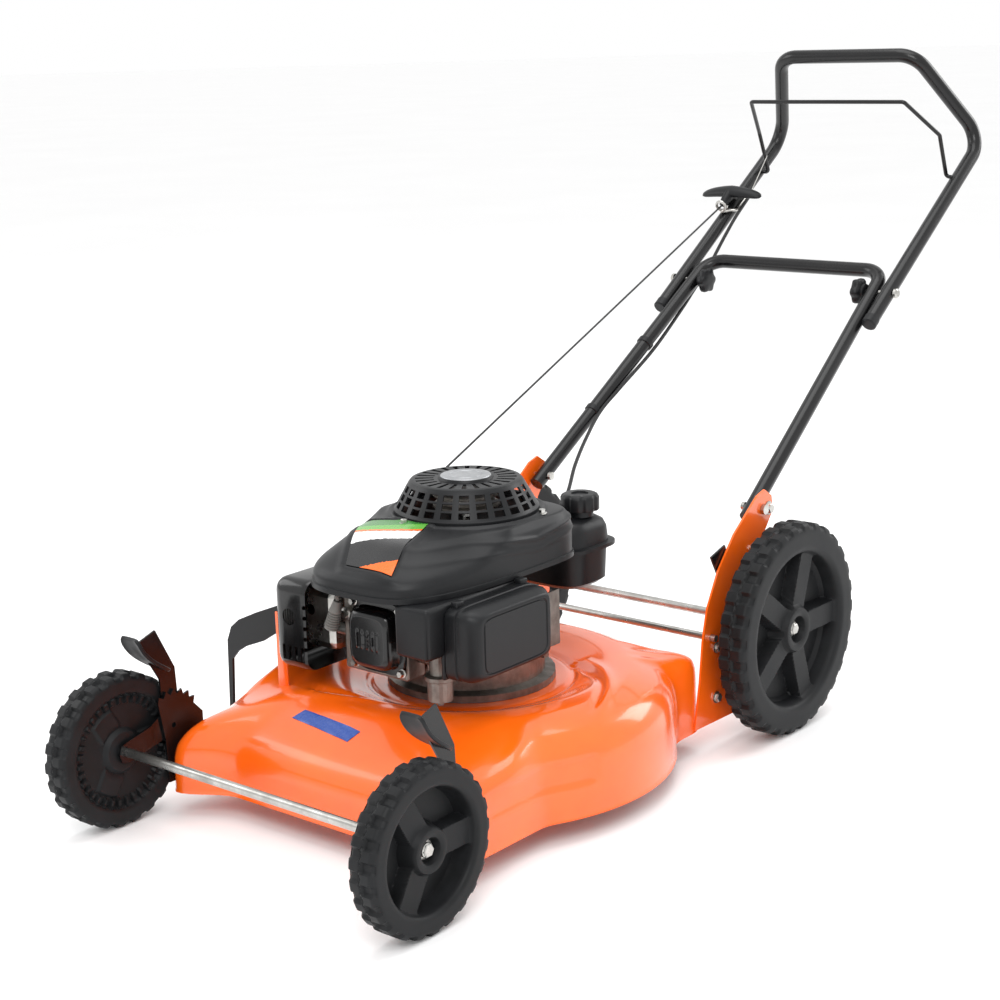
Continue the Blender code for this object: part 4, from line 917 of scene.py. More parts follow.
# ---------------------------------------------------------------- wheels
@dataclass
class Wheel:
    """Moulded wheel with flat webs, deep pockets and two rows of staggered tread slots."""

    node: str
    body: str
    side: Side
    webs: int
    slots: int
    hub: float
    web_half: float
    bore: float = 0.0063
    depth: float = 0.0042
    columns_per_slot: int = 14
    rim_share: float = 0.76
    pocket_depth: float = 0.42

    def build(self) -> None:
        """Model the wheel as one closed surface round its axle."""
        low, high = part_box(self.node)
        radius = (high.z - low.z) / 2.0
        width = high.x - low.x
        centre = (low + high) / 2.0
        rim = radius * self.rim_share
        hub = self.hub
        columns = self.slots * self.columns_per_slot
        angle = turns(columns)
        knots = np.array([
            (self.bore, 0.62), (hub * 0.52, 0.62), (hub * 0.60, 0.90), (hub * 0.98, 0.93), (hub * 1.10, 0.74),
            (rim * 0.935, 0.74), (rim * 0.965, 0.93), (rim * 1.01, 1.0), (radius * 0.925, 1.0),
            (radius * 0.975, 0.95), (radius, 0.86), (radius, 0.14), (radius * 0.975, 0.05),
            (radius * 0.925, 0.0), (rim * 1.01, 0.0), (rim * 0.96, 0.10), (rim * 0.94, 0.2),
            (hub * 1.15, 0.2), (hub, 0.03),
            (self.bore, 0.03), (self.bore, 0.62)])
        counts = (2, 3, 4, 3, 12, 3, 2, 6, 3, 3, 24, 3, 3, 6, 2, 3, 12, 3, 4, 3)
        loop = sampled(knots, counts)
        loop[1:-1] = softened(loop, 0.7, 0)[1:-1]
        r = np.repeat(loop[:, :1], columns + 1, axis=1)
        x = np.repeat(loop[:, 1:], columns + 1, axis=1)
        row = np.arange(len(loop))[:, None]
        edges = np.cumsum([0, *counts])
        turn = angle[None, :] + 0.0 * r
        step = 2.0 * pi / self.webs
        nearest = (turn + step / 2.0) % step - step / 2.0
        off = r * np.abs(np.sin(nearest))
        pocket = ramp(self.web_half - 0.0012, self.web_half + 0.0018, off)
        face = (row >= edges[3]) & (row <= edges[6])
        dip = pocket * ramp(hub * 1.06, hub * 1.20, r) * (1.0 - ramp(rim * 0.91, rim * 0.955, r))
        x = np.where(face, x - self.pocket_depth * dip, x)
        inner = (row >= edges[15]) & (row <= edges[18])
        ribs = ramp(0.25, 0.45, np.cos(turn * 36.0)) * ramp(rim * 0.80, rim * 0.83, r)
        flat = (1.0 - pocket) * ramp(hub * 1.15, hub * 1.35, r) * (1.0 - ramp(rim * 0.76, rim * 0.79, r))
        x = np.where(inner, x - 0.12 * ribs - 0.08 * flat, x)
        pitch = 2.0 * pi / self.slots
        tread = ramp(radius * 0.93, radius * 0.968, r)
        for phase, start, stop in ((0.0, 0.56, 1.2), (0.5, -0.2, 0.44)):
            place = np.abs((turn / pitch + phase) % 1.0 - 0.5)
            notch = 1.0 - ramp(0.19, 0.25, place)
            inside = ramp(start - 0.015, start + 0.015, x) * (1.0 - ramp(stop - 0.015, stop + 0.015, x))
            r = r - self.depth * notch * inside * tread
        zigzag = 0.5 + 0.035 * (2.0 * np.abs((turn / pitch * 2.0) % 1.0 - 0.5) * 2.0 - 1.0)
        r = r - 0.0016 * hump(x - zigzag, 0.018) * tread
        sign = self.side.value
        base = low.x if sign > 0 else high.x
        points = np.stack([base + sign * width * x, centre.y + r * np.cos(turn), centre.z + r * np.sin(turn)],
                          axis=-1)
        finish_piece(wrapped(f"{self.node}_moulding", points), WHEEL, self.body, (self.node,), smooth=30.0)


# ---------------------------------------------------------------- handle and its cords
@dataclass
class Handle:
    """Folding tube handle with its stop bail, knobs, grip, rope and cable."""

    rise: float = radians(34.3)
    tube: float = 0.011
    root_back: float = 0.0126
    root_up: float = 0.161
    lower_foot: float = 0.186
    lower_top: float = 0.160
    crossbar_at: float = 0.503
    fold_at: float = 0.455
    upper_from: float = 0.385
    bend_at: float = 0.827
    toe: float = 0.00905
    tube_gap: float = 0.0034
    grip_x: float = 0.121
    bail_at: float = 0.732
    guide_at: float = 0.612
    grip_at: float = 0.647
    grip_half: float = 0.058
    bend_drop: float = 0.1113
    bend_rise: float = 0.1367
    lower_fillet: float = 0.034
    upper_fillet: float = 0.040
    bail_bar: float = 0.0032
    wire: float = 0.0008
    rope: float = 0.0015
    cable: float = 0.0028

    def at(self, x: float, along: float, up: float = 0.0) -> Vector:
        """Point on the handle's slope, measured from the handle bolt.

        Args:
            x: Distance from the middle plane.
            along: Distance up the slope.
            up: Distance square to the slope.

        Returns:
            The point in the frame.
        """
        y = REAR_AXLE.y + self.root_back + cos(self.rise) * along - sin(self.rise) * up
        z = REAR_AXLE.z + self.root_up + sin(self.rise) * along + cos(self.rise) * up
        return Vector((x, y, z))

    def lower_x(self, along: float) -> float:
        """Middle plane to the lower tube's axis."""
        return self.lower_foot + (self.lower_top - self.lower_foot) * along / self.crossbar_at

    def upper_x(self, along: float) -> float:
        """Middle plane to the upper tube's axis."""
        start = self.lower_x(self.fold_at) + 2.0 * self.tube + self.tube_gap
        return start - self.toe * (along - self.fold_at)

    def eye(self) -> Vector:
        """Middle of the guide that the starter rope passes through."""
        return self.at(-self.upper_x(self.guide_at), self.guide_at, self.tube + 0.012)

    def wire_end(self, along: float) -> Vector:
        """Place beside the right tube where the bail's wire meets the stop cable."""
        return self.at(-self.upper_x(0.66) + self.tube + 0.0105, along, 0.004)

    def tubes(self) -> None:
        """Model the lower and upper tubes with plastic plugs in the upper tube's ends."""
        foot = self.at(self.lower_x(-0.02), -0.02)
        top = self.at(self.lower_top, self.crossbar_at)
        lower = swept("lower_tube", filleted(mirrored([foot, top]), self.lower_fillet, 14), self.tube, 32)
        finish_piece(lower, POWDER, "root", ("lower_handle",))
        bend = self.at(self.upper_x(self.bend_at), self.bend_at)
        corner = Vector((self.grip_x, bend.y - self.bend_drop, bend.z + self.bend_rise))
        half = [self.at(self.upper_x(self.upper_from), self.upper_from), bend, corner]
        upper = swept("upper_tube", filleted(mirrored(half), self.upper_fillet, 16), self.tube, 32)
        finish_piece(upper, POWDER, "upper_handle_set", ("upper_handle",))
        plugs = []
        for sign in (1.0, -1.0):
            end = self.at(sign * self.upper_x(self.upper_from), self.upper_from)
            away = self.at(sign * self.upper_x(0.0), 0.0) - end
            profile = [(0.0116, -0.012), (0.0116, 0.0012), (0.0095, 0.003)]
            plugs.append(turned("plug", profile, end, away, 28))
        finish_piece(merge("tube_plugs", plugs), MOULDED, "upper_handle_set")

    def knobs(self) -> None:
        """Model the two lobed knobs inside the lower tubes."""
        for side in Side:
            word = side.name.lower()
            low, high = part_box(f"fold_knob_{word}")
            spot = (low + high) / 2.0
            spot.x = high.x if side is Side.LEFT else low.x
            profile = [(0.010, 0.0), (0.0115, 0.001), (0.0115, 0.005), (0.0165, 0.0065), (0.0185, 0.009),
                       (0.019, 0.014), (0.0180, 0.0175), (0.014, 0.0195), (0.006, 0.0200)]
            knob = turned(f"knob_{word}", profile, spot, (-side.value, 0.0, 0.0), 72,
                          lambda a, r: 1.0 + 0.09 * np.cos(6.0 * a) * ramp(0.012, 0.016, r))
            finish_piece(knob, MOULDED, f"{word}_knob", (f"fold_knob_{word}",))

    def bail(self) -> None:
        """Model the thin stop bail that swings on the upper tubes."""
        pivot = self.at(0.0, self.bail_at)
        half = self.upper_x(self.bail_at) - self.tube - 0.0015
        leg = [Vector((half + 0.006, pivot.y, pivot.z)), Vector((half - 0.009, pivot.y, pivot.z)),
               pivot + Vector((half - 0.008, -0.0288, 0.0668)), pivot + Vector((0.138, -0.0978, 0.1212))]
        route = filleted(mirrored(leg), 0.0062, 8)
        finish_piece(swept("stop_bail_bar", route, self.bail_bar, 16), POWDER, "bail_set", ("stop_bail",))
        hook = pivot.lerp(leg[2], 0.42)
        start = Vector((-half + 0.009 + 0.0044, hook.y, hook.z))
        end = self.wire_end(0.661)
        wire = swept("bail_inner_wire", [start.lerp(end, k / 16) for k in range(17)], self.wire, 10)
        finish_piece(wire, ZINC, "", ("bail_wire",))
        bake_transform(wire)

    def grip(self) -> None:
        """Model the winged T-grip on its neck."""
        centre = self.at(-self.upper_x(self.grip_at), self.grip_at, self.tube + 0.0148)
        up = Vector((0.0, -sin(self.rise), cos(self.rise)))
        along = Vector((0.0, cos(self.rise), sin(self.rise)))
        v, u = net(np.linspace(-1.0, 1.0, 45), turns(32))
        round_end = np.sqrt(np.clip(1.0 - np.abs(v) ** 7, 0.0, 1.0))
        deep = (0.0125 - 0.0040 * np.abs(v)) * round_end
        high = (0.0080 - 0.0030 * np.abs(v)) * round_end
        droop = -0.0085 * v ** 2
        local = np.stack([self.grip_half * v + 0.0 * u, deep * np.cos(u), high * np.sin(u) + droop], axis=-1)
        axes = np.stack([np.array((1.0, 0.0, 0.0)), np.array(along), np.array(up)])
        bar = wrapped("grip_bar", local @ axes + np.array(centre))
        eye = self.eye()
        tip = eye + (eye - self.rope_exit()).normalized() * 0.0056
        reach = (centre - tip).length
        neck = turned("neck", [(0.0054, 0.0), (0.0062, 0.002), (0.0075, 0.010), (0.0085, reach)], tip,
                      centre - tip, 24)
        finish_piece(merge("starter_t_grip", [bar, neck]), MOULDED, "grip", ("starter_grip",))

    def rope_exit(self) -> Vector:
        """Place where the rope leaves the starter cover."""
        return Vector((-0.0642, CRANK.y + 0.0367, 0.4075))

    def cords(self) -> None:
        """Model the starter rope and the stop cable, which run from the engine onto the folding handle."""
        first = self.rope_exit()
        eye = self.eye()
        last = eye + (eye - first).normalized() * 0.0038
        rope = swept("braided_rope", [first.lerp(last, k / 60) for k in range(61)], self.rope, 12)
        finish_piece(rope, JACKET, "", ("starter_rope",))
        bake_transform(rope)
        toward = (eye - first).normalized()
        near = eye + toward * 0.0008
        held = eye + toward * 0.0085
        drawn = swept("drawn_rope", [near.lerp(held, k / 60) for k in range(61)], 0.0014, 12)
        finish_piece(drawn, JACKET, "")
        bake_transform(drawn)
        route = [self.wire_end(0.660)]
        stations = ((True, 0.610, 0.0080, -5.3), (True, 0.575, 0.0059, 17.7), (True, 0.545, 0.0077, 37.3),
                    (False, 0.500, 0.0057, 113.8), (False, 0.450, 0.0044, 101.9),
                    (False, 0.400, 0.0029, 82.0), (False, 0.300, 0.0028, 46.2),
                    (False, 0.200, 0.0010, 7.8), (False, 0.143, 0.0010, -3.9))
        for upper, along, gap, angle in stations:
            away = self.tube + self.cable + gap
            tube_x = self.upper_x(along) if upper else self.lower_x(along)
            route.append(self.at(away * cos(radians(angle)) - tube_x, along, -away * sin(radians(angle))))
        for x, y, z in ((-0.145, 0.850, 0.363), (-0.110, 0.775, 0.339), (-0.070, 0.700, 0.312),
                        (-0.064, 0.650, 0.288), (-0.0675, 0.595, 0.2800), (-0.075, 0.5445, 0.2800)):
            route.append(Vector((x, FRONT_AXLE.y + y, z)))
        cable = swept("stop_cable_jacket", smooth_route(route, 0.006), self.cable, 14)
        finish_piece(cable, JACKET, "", ("stop_cable",))
        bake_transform(cable)
        clips = []
        for along in (0.300, 0.143):
            spot = self.at(-self.lower_x(along), along)
            axis = self.at(-self.lower_x(along + 0.05), along + 0.05) - spot
            band = [(0.0113, -0.005), (0.0128, -0.004), (0.0128, 0.004), (0.0113, 0.005)]
            clips.append(turned("clip", band, spot, axis, 32))
        finish_piece(merge("cable_clips", clips), MOULDED, "root")

    def build(self) -> None:
        """Model everything on the handle."""
        self.tubes()
        self.knobs()
        self.bail()
        self.grip()
        self.cords()


# ---------------------------------------------------------------- engine covers
@dataclass
class EngineCovers:
    """Blower housing with its label, starter cover, valve cover, exhaust guard, air filter and fuel tank."""

    half: float = 0.117
    front: float = 0.229
    back: float = 0.104
    top: float = 0.367
    base: float = 0.302
    cover: float = 0.095
    wall: float = 0.0025
    label: tuple[tuple[float, float], ...] = ((-0.083, -0.110), (0.016, -0.092), (0.056, -0.209),
                                              (-0.018, -0.211))

    def label_share(self, x: np.ndarray, y: np.ndarray, margin: float) -> np.ndarray:
        """Give 1 inside the label's outline grown by a margin, smooth at its edge.

        Args:
            x: Plan X from the crankshaft.
            y: Plan Y from the crankshaft.
            margin: How far the outline grows.

        Returns:
            Share of each point.
        """
        inside = np.ones_like(x)
        for (ax, ay), (bx, by) in zip(self.label, self.label[1:] + self.label[:1]):
            length = ((bx - ax) ** 2 + (by - ay) ** 2) ** 0.5
            gap = ((bx - ax) * (y - ay) - (by - ay) * (x - ax)) / length
            inside = inside * (1.0 - ramp(margin - 0.0012, margin + 0.0012, gap))
        return inside

    def shell(self) -> np.ndarray:
        """Points of the blower housing's outer face.

        Returns:
            Rows by columns by three.
        """
        columns = 264
        angle = np.linspace(0.0, 2.0 * pi, columns + 1)
        c = np.abs(np.cos(angle))
        s = np.sin(angle)
        deep = np.where(s < 0.0, self.front, self.back)
        power = np.where(s < 0.0, 3.4, 5.0)
        reach = ((c / self.half) ** power + (np.abs(s) / deep) ** power) ** (-1.0 / power)
        nose = ramp(0.35, 0.95, -s)
        edge = self.top - 0.012 - 0.026 * nose
        flat = np.ones_like(angle)
        knots = [((self.cover - 0.007) * flat, self.top * flat),
                 ((self.cover + 0.004) * flat, self.top * flat),
                 (np.maximum(reach - 0.050 * nose - 0.010, self.cover + 0.006),
                  self.top - 0.002 - 0.004 * nose),
                 (reach - 0.003 - 0.004 * nose, edge), (reach, edge - 0.010),
                 (reach, (self.base + 0.0075) * flat),
                 (reach + 0.0022, (self.base + 0.0065) * flat), (reach + 0.0022, self.base * flat)]
        counts = (3, 22, 14, 8, 10, 2, 3)
        r = sampled(np.stack([k[0] for k in knots]), counts)
        z = sampled(np.stack([k[1] for k in knots]), counts)
        r = np.concatenate([softened(r[:-6], 2.0, 0), r[-6:]])
        z = np.concatenate([softened(z[:-6], 2.0, 0), z[-6:]])
        turn = np.degrees(np.broadcast_to(angle, r.shape))
        flank = np.abs((turn + 180.0) % 360.0 - 180.0)
        side = 1.0 - ramp(75.0, 100.0, flank)
        upper = self.top - 0.010 - 0.020 * ramp(-60.0, 40.0, -np.abs(turn - 360.0 * (turn > 180.0)))
        swoosh = hump(z - upper, 0.0028) + 0.8 * hump(z - upper + 0.014, 0.0025)
        wall = ramp(0.0, 0.03, r - self.cover)
        r = r + 0.0024 * swoosh * side * wall
        x = r * np.cos(angle)
        y = r * np.sin(angle)
        frame_ring = self.label_share(x, y, 0.010) - self.label_share(x, y, 0.002)
        z = z + 0.0022 * frame_ring * (z > 0.325)
        collar = hump(r - self.cover - 0.006, 0.0035)
        z = z + 0.0022 * collar
        points = np.stack([x + CRANK.x, y + CRANK.y, z], axis=-1)
        points[:, -1] = points[:, 0]
        return points

    def housing(self) -> None:
        """Model the blower housing and the plain striped label on its nose."""
        shell = self.shell()
        piece = wrapped("blower_shell", shell)
        modify(piece, "SOLIDIFY", thickness=self.wall, offset=-1.0)
        finish_piece(piece, MOULDED, "root", ("blower_housing",), smooth=50.0)
        v, u = net(np.linspace(0.0, 1.0, 41), np.linspace(0.0, 1.0, 33))
        corner = [np.array(p) for p in self.label]
        across = u[..., None]
        down = v[..., None]
        plan = ((1 - across) * (1 - down) * corner[0] + across * (1 - down) * corner[1]
                + across * down * corner[2] + (1 - across) * down * corner[3])
        x = plan[..., 0] + CRANK.x
        y = plan[..., 1] + CRANK.y
        spots = shell.reshape(-1, 3)
        found = height_over(spots[spots[:, 2] > 0.318], x, y, 8, 1e-7)
        z = softened(softened(found, 1.5, 0), 1.5, 1) + 0.0011
        label = wrapped("striped_label", np.stack([x, y, z], axis=-1))
        modify(label, "SOLIDIFY", thickness=0.0006, offset=-1.0)
        start = (corner[0] + corner[1]) / 2.0
        along = (corner[2] + corner[3]) / 2.0 - start
        bands = StripeFinish("printed_striped_vinyl", (start[0] + CRANK.x, start[1] + CRANK.y, 0.0),
                             (along[0], along[1], 0.0),
                             ((0.0, "#2F7D28"), (0.17, "#5DA83A"), (0.31, "#F26A1B"), (0.37, "#F4F4F2"),
                              (0.60, "#101012"), (0.97, "#F26A1B")))
        finish_piece(label, bands, "root")

    def starter(self) -> None:
        """Model the ribbed starter cover with real windows, and its silver disc."""
        ribs = 24
        per_rib = 8
        columns = ribs * per_rib
        foot = self.top + 0.0004
        knots = np.array([(self.cover, foot), (self.cover, foot + 0.0035), (0.0935, foot + 0.0050),
                          (0.0750, 0.4050), (0.0725, 0.4080), (0.0690, 0.4090), (0.0365, 0.4090),
                          (0.0350, 0.4120), (0.0300, 0.4124)])
        counts = (2, 1, 13, 2, 2, 12, 2, 2)
        loop = sampled(knots, counts)
        gone = np.zeros((len(loop) - 1, columns), bool)
        across = np.arange(columns)
        open_rib = (across % per_rib >= 2) & (across % per_rib < 7)
        heading = 360.0 * across / columns
        plain = (heading > 205.0) & (heading < 235.0)
        for start in (4, 8, 12):
            gone[start:start + 3] = open_rib & ~plain
        gone[21:30] = (across % per_rib >= 3) & (across % per_rib < 6)
        points = turned_grid(loop.tolist(), (CRANK.x, CRANK.y, 0.0), UP, columns)
        cover = wrapped("starter_cover", points, gone)
        modify(cover, "SOLIDIFY", thickness=0.0024, offset=-1.0)
        finish_piece(cover, MOULDED, "root", ("recoil_cover",), smooth=30.0)
        disc = [(0.0335, 0.4085), (0.0335, 0.4118), (0.0325, 0.4130), (0.0220, 0.4130), (0.0215, 0.4125),
                (0.0205, 0.4125), (0.0200, 0.4130), (0.0040, 0.4130)]
        finish_piece(turned("starter_disc", disc, (CRANK.x, CRANK.y, 0.0), UP, 96), DISC, "root")
        fixings = []
        for turn in (-100.0, 20.0, 140.0):
            spot = (CRANK.x + 0.1035 * cos(radians(turn)), CRANK.y + 0.1035 * sin(radians(turn)),
                    self.top - 0.0005)
            fixings.append(bolt(spot, UP, 0.008, 0.0045, 0.0065))
        finish_piece(merge("cover_bolts", fixings), ZINC, "root")

    def rounded_plate(self, name: str, node: str, rings: Sequence[tuple[float, float]], power: float,
                      axis: int, sign: float, relief: Share | None = None) -> Piece:
        """Model a rounded square moulding that stands out along one axis.

        Args:
            name: Name of the piece.
            node: CAD node whose box it fills.
            rings: (share of the half width, depth) from its foot to its face.
            power: Squareness of the outline.
            axis: 0 where it stands out along X, 1 along Y.
            sign: Which way it stands out.
            relief: Extra depth from the two shares across the face.

        Returns:
            The piece.
        """
        low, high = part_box(node)
        centre = (low + high) / 2.0
        half = (high - low) / 2.0
        angle = turns(96)
        corner = (np.abs(np.cos(angle)) ** power + np.abs(np.sin(angle)) ** power) ** (-1.0 / power)
        share = np.array([p[0] for p in rings])[:, None]
        depth = np.array([p[1] for p in rings])[:, None] + 0.0 * angle[None, :]
        a = share * corner * np.cos(angle)
        b = share * corner * np.sin(angle)
        if relief is not None:
            depth = depth + relief(a, b)
        other = half.y if axis == 0 else half.x
        foot = (low if sign > 0 else high)[axis]
        out = foot + sign * depth
        if axis == 0:
            points = np.stack([out, centre.y + a * other, centre.z + b * half.z], axis=-1)
        else:
            points = np.stack([centre.x + a * other, out, centre.z + b * half.z], axis=-1)
        return wrapped(name, points)

    def valve_cover(self) -> None:
        """Model the domed valve cover with plain ribs and four bolts."""
        low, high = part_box("valve_cover")
        deep = high.y - low.y
        rings = [(0.0, 0.0), (1.0, 0.0), (1.0, 0.003), (0.985, 0.0045), (0.84, 0.0052), (0.815, 0.0075),
                 (0.805, deep * 0.62), (0.79, deep * 0.74), (0.74, deep * 0.86), (0.66, deep * 0.93)]
        rings += [(0.64 * (1.0 - k / 24), deep * 0.945) for k in range(25)]
        face = 0.0014

        def ribs(a: np.ndarray, b: np.ndarray) -> np.ndarray:
            """Raise five plain upright ribs across the middle of the face."""
            inside = (1.0 - ramp(0.44, 0.50, np.abs(a))) * (1.0 - ramp(0.20, 0.26, np.abs(b)))
            front_only = ramp(0.66, 0.62, np.maximum(np.abs(a), np.abs(b)))
            return face * inside * front_only * ramp(0.2, 0.6, np.cos(a * 32.0))

        cover = self.rounded_plate("valve_cover_dome", "valve_cover", rings, 5.0, 1, -1.0, ribs)
        finish_piece(cover, GLOSS, "root", ("valve_cover",))
        parts = []
        centre = (low + high) / 2.0
        for sx, sz in ((1, 1), (1, -1), (-1, 1), (-1, -1)):
            spot = (centre.x + sx * (high.x - low.x) * 0.455, high.y - 0.0046,
                    centre.z + sz * (high.z - low.z) * 0.43)
            parts.append(bolt(spot, (0.0, -1.0, 0.0), 0.008, 0.006, 0.0058))
        finish_piece(merge("valve_cover_bolts", parts), ZINC, "root")

    def exhaust(self) -> None:
        """Model the muffler guard as a thin shell with its holes."""
        low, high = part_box("muffler_guard")
        guard = block("exhaust_guard", low, high, 0.018, 6)
        inside = Vector((0.0018, 0.0018, 0.0018))
        hollow = block("hollow", low + inside, (high.x + 0.032, high.y + 0.040, high.z - 0.0018), 0.0165, 6)
        cut(guard, hollow)
        tools = [turned("tool", [(0.011, -0.01), (0.011, 0.02)], (low.x + 0.031, low.y, low.z + 0.072),
                        (0.0, 1.0, 0.0), 40)]
        for k in range(5):
            tools.append(turned("tool", [(0.0028, -0.01), (0.0028, 0.02)],
                                (low.x + 0.058, low.y, low.z + 0.032 + 0.014 * k), (0.0, 1.0, 0.0), 20))
        for k in range(4):
            tools.append(block("tool", (low.x + 0.017 + 0.011 * k, low.y - 0.01, low.z + 0.014),
                               (low.x + 0.022 + 0.011 * k, low.y + 0.02, low.z + 0.034), 0.0))
        cut(guard, merge("tools", tools))
        fins = []
        for k in range(-2, 3):
            x = low.x + 0.031 + 0.0042 * k
            fins.append(block("fin", (x - 0.0006, low.y + 0.0008, low.z + 0.062),
                              (x + 0.0006, low.y + 0.004, low.z + 0.082), 0.0))
        finish_piece(merge("exhaust_guard", [guard, *fins]), GLOSS, "root", ("muffler_guard",))

    def filter(self) -> None:
        """Model the air filter's chamfered cover and its clips."""
        low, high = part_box("air_filter_cover")
        deep = high.x - low.x
        rings = [(0.93, 0.004), (0.985, 0.0), (1.0, 0.0015), (1.0, deep * 0.34), (0.975, deep * 0.36),
                 (0.972, deep * 0.42), (0.985, deep * 0.44), (0.985, deep * 0.66), (0.96, deep * 0.76),
                 (0.88, deep * 0.95), (0.85, deep * 0.985), (0.80, deep), (0.775, deep),
                 (0.765, deep - 0.0012), (0.74, deep - 0.0012), (0.73, deep), (0.4, deep), (0.0, deep)]
        cover = self.rounded_plate("filter_cover_box", "air_filter_cover", rings, 9.0, 0, 1.0)
        modify(cover, "SOLIDIFY", thickness=self.wall, offset=-1.0)
        tabs = []
        for share in (0.12, 0.88):
            y = low.y + (high.y - low.y) * share
            tabs.append(block("tab", (low.x + 0.001, y - 0.007, high.z - 0.003),
                              (low.x + 0.012, y + 0.007, high.z + 0.006), 0.002))
        finish_piece(merge("filter_cover_box", [cover, *tabs]), MOULDED, "filter_cover",
                     ("air_filter_cover",))
        base_low, base_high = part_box("air_filter_base")
        base = block("filter_base_box", base_low, base_high, 0.006, 4)
        ledge = block("ledge", (base_high.x - 0.006, base_low.y + 0.03, base_low.z - 0.030),
                      (base_high.x, base_high.y, base_low.z + 0.01), 0.002)
        finish_piece(merge("filter_base_box", [base, ledge]), MOULDED, "root", ("air_filter_base",))

    def tank(self) -> None:
        """Model the fuel tank with its seam flange, and the knurled cap."""
        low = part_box("fuel_tank")[0]
        middle = Vector((0.012, CRANK.y + 0.1695, 0.0))
        levels = ((0.232, 0.0, 0.0), (0.232, 0.050, 0.030), (0.234, 0.058, 0.038), (0.240, 0.066, 0.046),
                  (0.2855, 0.068, 0.048), (0.286, 0.069, 0.049), (0.2865, 0.078, 0.0575),
                  (0.2915, 0.078, 0.0575),
                  (0.292, 0.070, 0.050), (0.312, 0.068, 0.048), (0.321, 0.064, 0.044), (0.326, 0.056, 0.036),
                  (0.328, 0.044, 0.026), (0.328, 0.0, 0.0))
        angle = turns(72)
        corner = (np.abs(np.cos(angle)) ** 4 + np.abs(np.sin(angle)) ** 4) ** -0.25
        rows = [np.stack([middle.x + a * corner * np.cos(angle), middle.y + b * corner * np.sin(angle),
                          z + 0.0 * angle], axis=-1) for z, a, b in levels]
        tank = wrapped("fuel_tank_body", np.stack(rows))
        lug = block("lug", (-0.012, low.y, 0.304), (0.036, middle.y - 0.02, 0.3165), 0.002)
        finish_piece(merge("fuel_tank_body", [tank, lug]), MOULDED, "root", ("fuel_tank",))
        cap_low, cap_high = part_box("fuel_cap")
        spot = (cap_low + cap_high) / 2.0
        spot.z = cap_low.z
        profile = [(0.018, 0.0), (0.0185, 0.0075), (0.0255, 0.0085), (0.0265, 0.010), (0.0265, 0.026),
                   (0.0250, 0.0290), (0.0215, 0.0308), (0.0120, 0.0308), (0.0115, 0.0285), (0.0020, 0.0285)]
        cap = turned("fuel_cap_knurled", profile, spot, UP, 96,
                     lambda a, r: 1.0 - 0.07 * ramp(0.35, 0.75, np.cos(8.0 * a)) * ramp(0.022, 0.025, r))
        finish_piece(cap, MOULDED, "tank_cap", ("fuel_cap",))

    def boot(self) -> None:
        """Model the ribbed spark plug boot and its lead."""
        head_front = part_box("cylinder_head")[0].y
        plug = Vector((-0.043, head_front - 0.0004, 0.264))
        foot = plug + Vector((-0.013, -0.020, -0.018))
        top = plug + Vector((-0.001, -0.0185, 0.020))
        reach = (top - foot).length
        profile = [(0.0065, -0.0005), (0.0092, 0.0005)]
        for k in range(7):
            height = 0.004 + 0.0034 * k
            thick = 0.0099 - 0.0003 * k
            profile += [(thick - 0.0016, height - 0.0012), (thick, height), (thick, height + 0.0012)]
        profile += [(0.0070, reach * 0.74), (0.0060, reach * 0.88), (0.0052, reach)]
        boot = turned("ribbed_boot", profile, foot, top - foot, 32)
        finish_piece(boot, RUBBER, "root", ("spark_plug_boot",))
        rise = (top - foot).normalized()
        start = top + rise * 0.0020
        route = [start, start + rise * 0.008, Vector((-0.028, head_front + 0.020, 0.3005)),
                 Vector((-0.012, head_front + 0.050, 0.308)), Vector((-0.006, CRANK.y - 0.113, 0.314))]
        finish_piece(swept("plug_lead", smooth_route(route, 0.003), 0.0030, 16), RUBBER, "root",
                     ("ignition_lead",))

    def build(self) -> None:
        """Model every engine cover."""
        self.housing()
        self.starter()
        self.valve_cover()
        self.exhaust()
        self.filter()
        self.tank()
        self.boot()


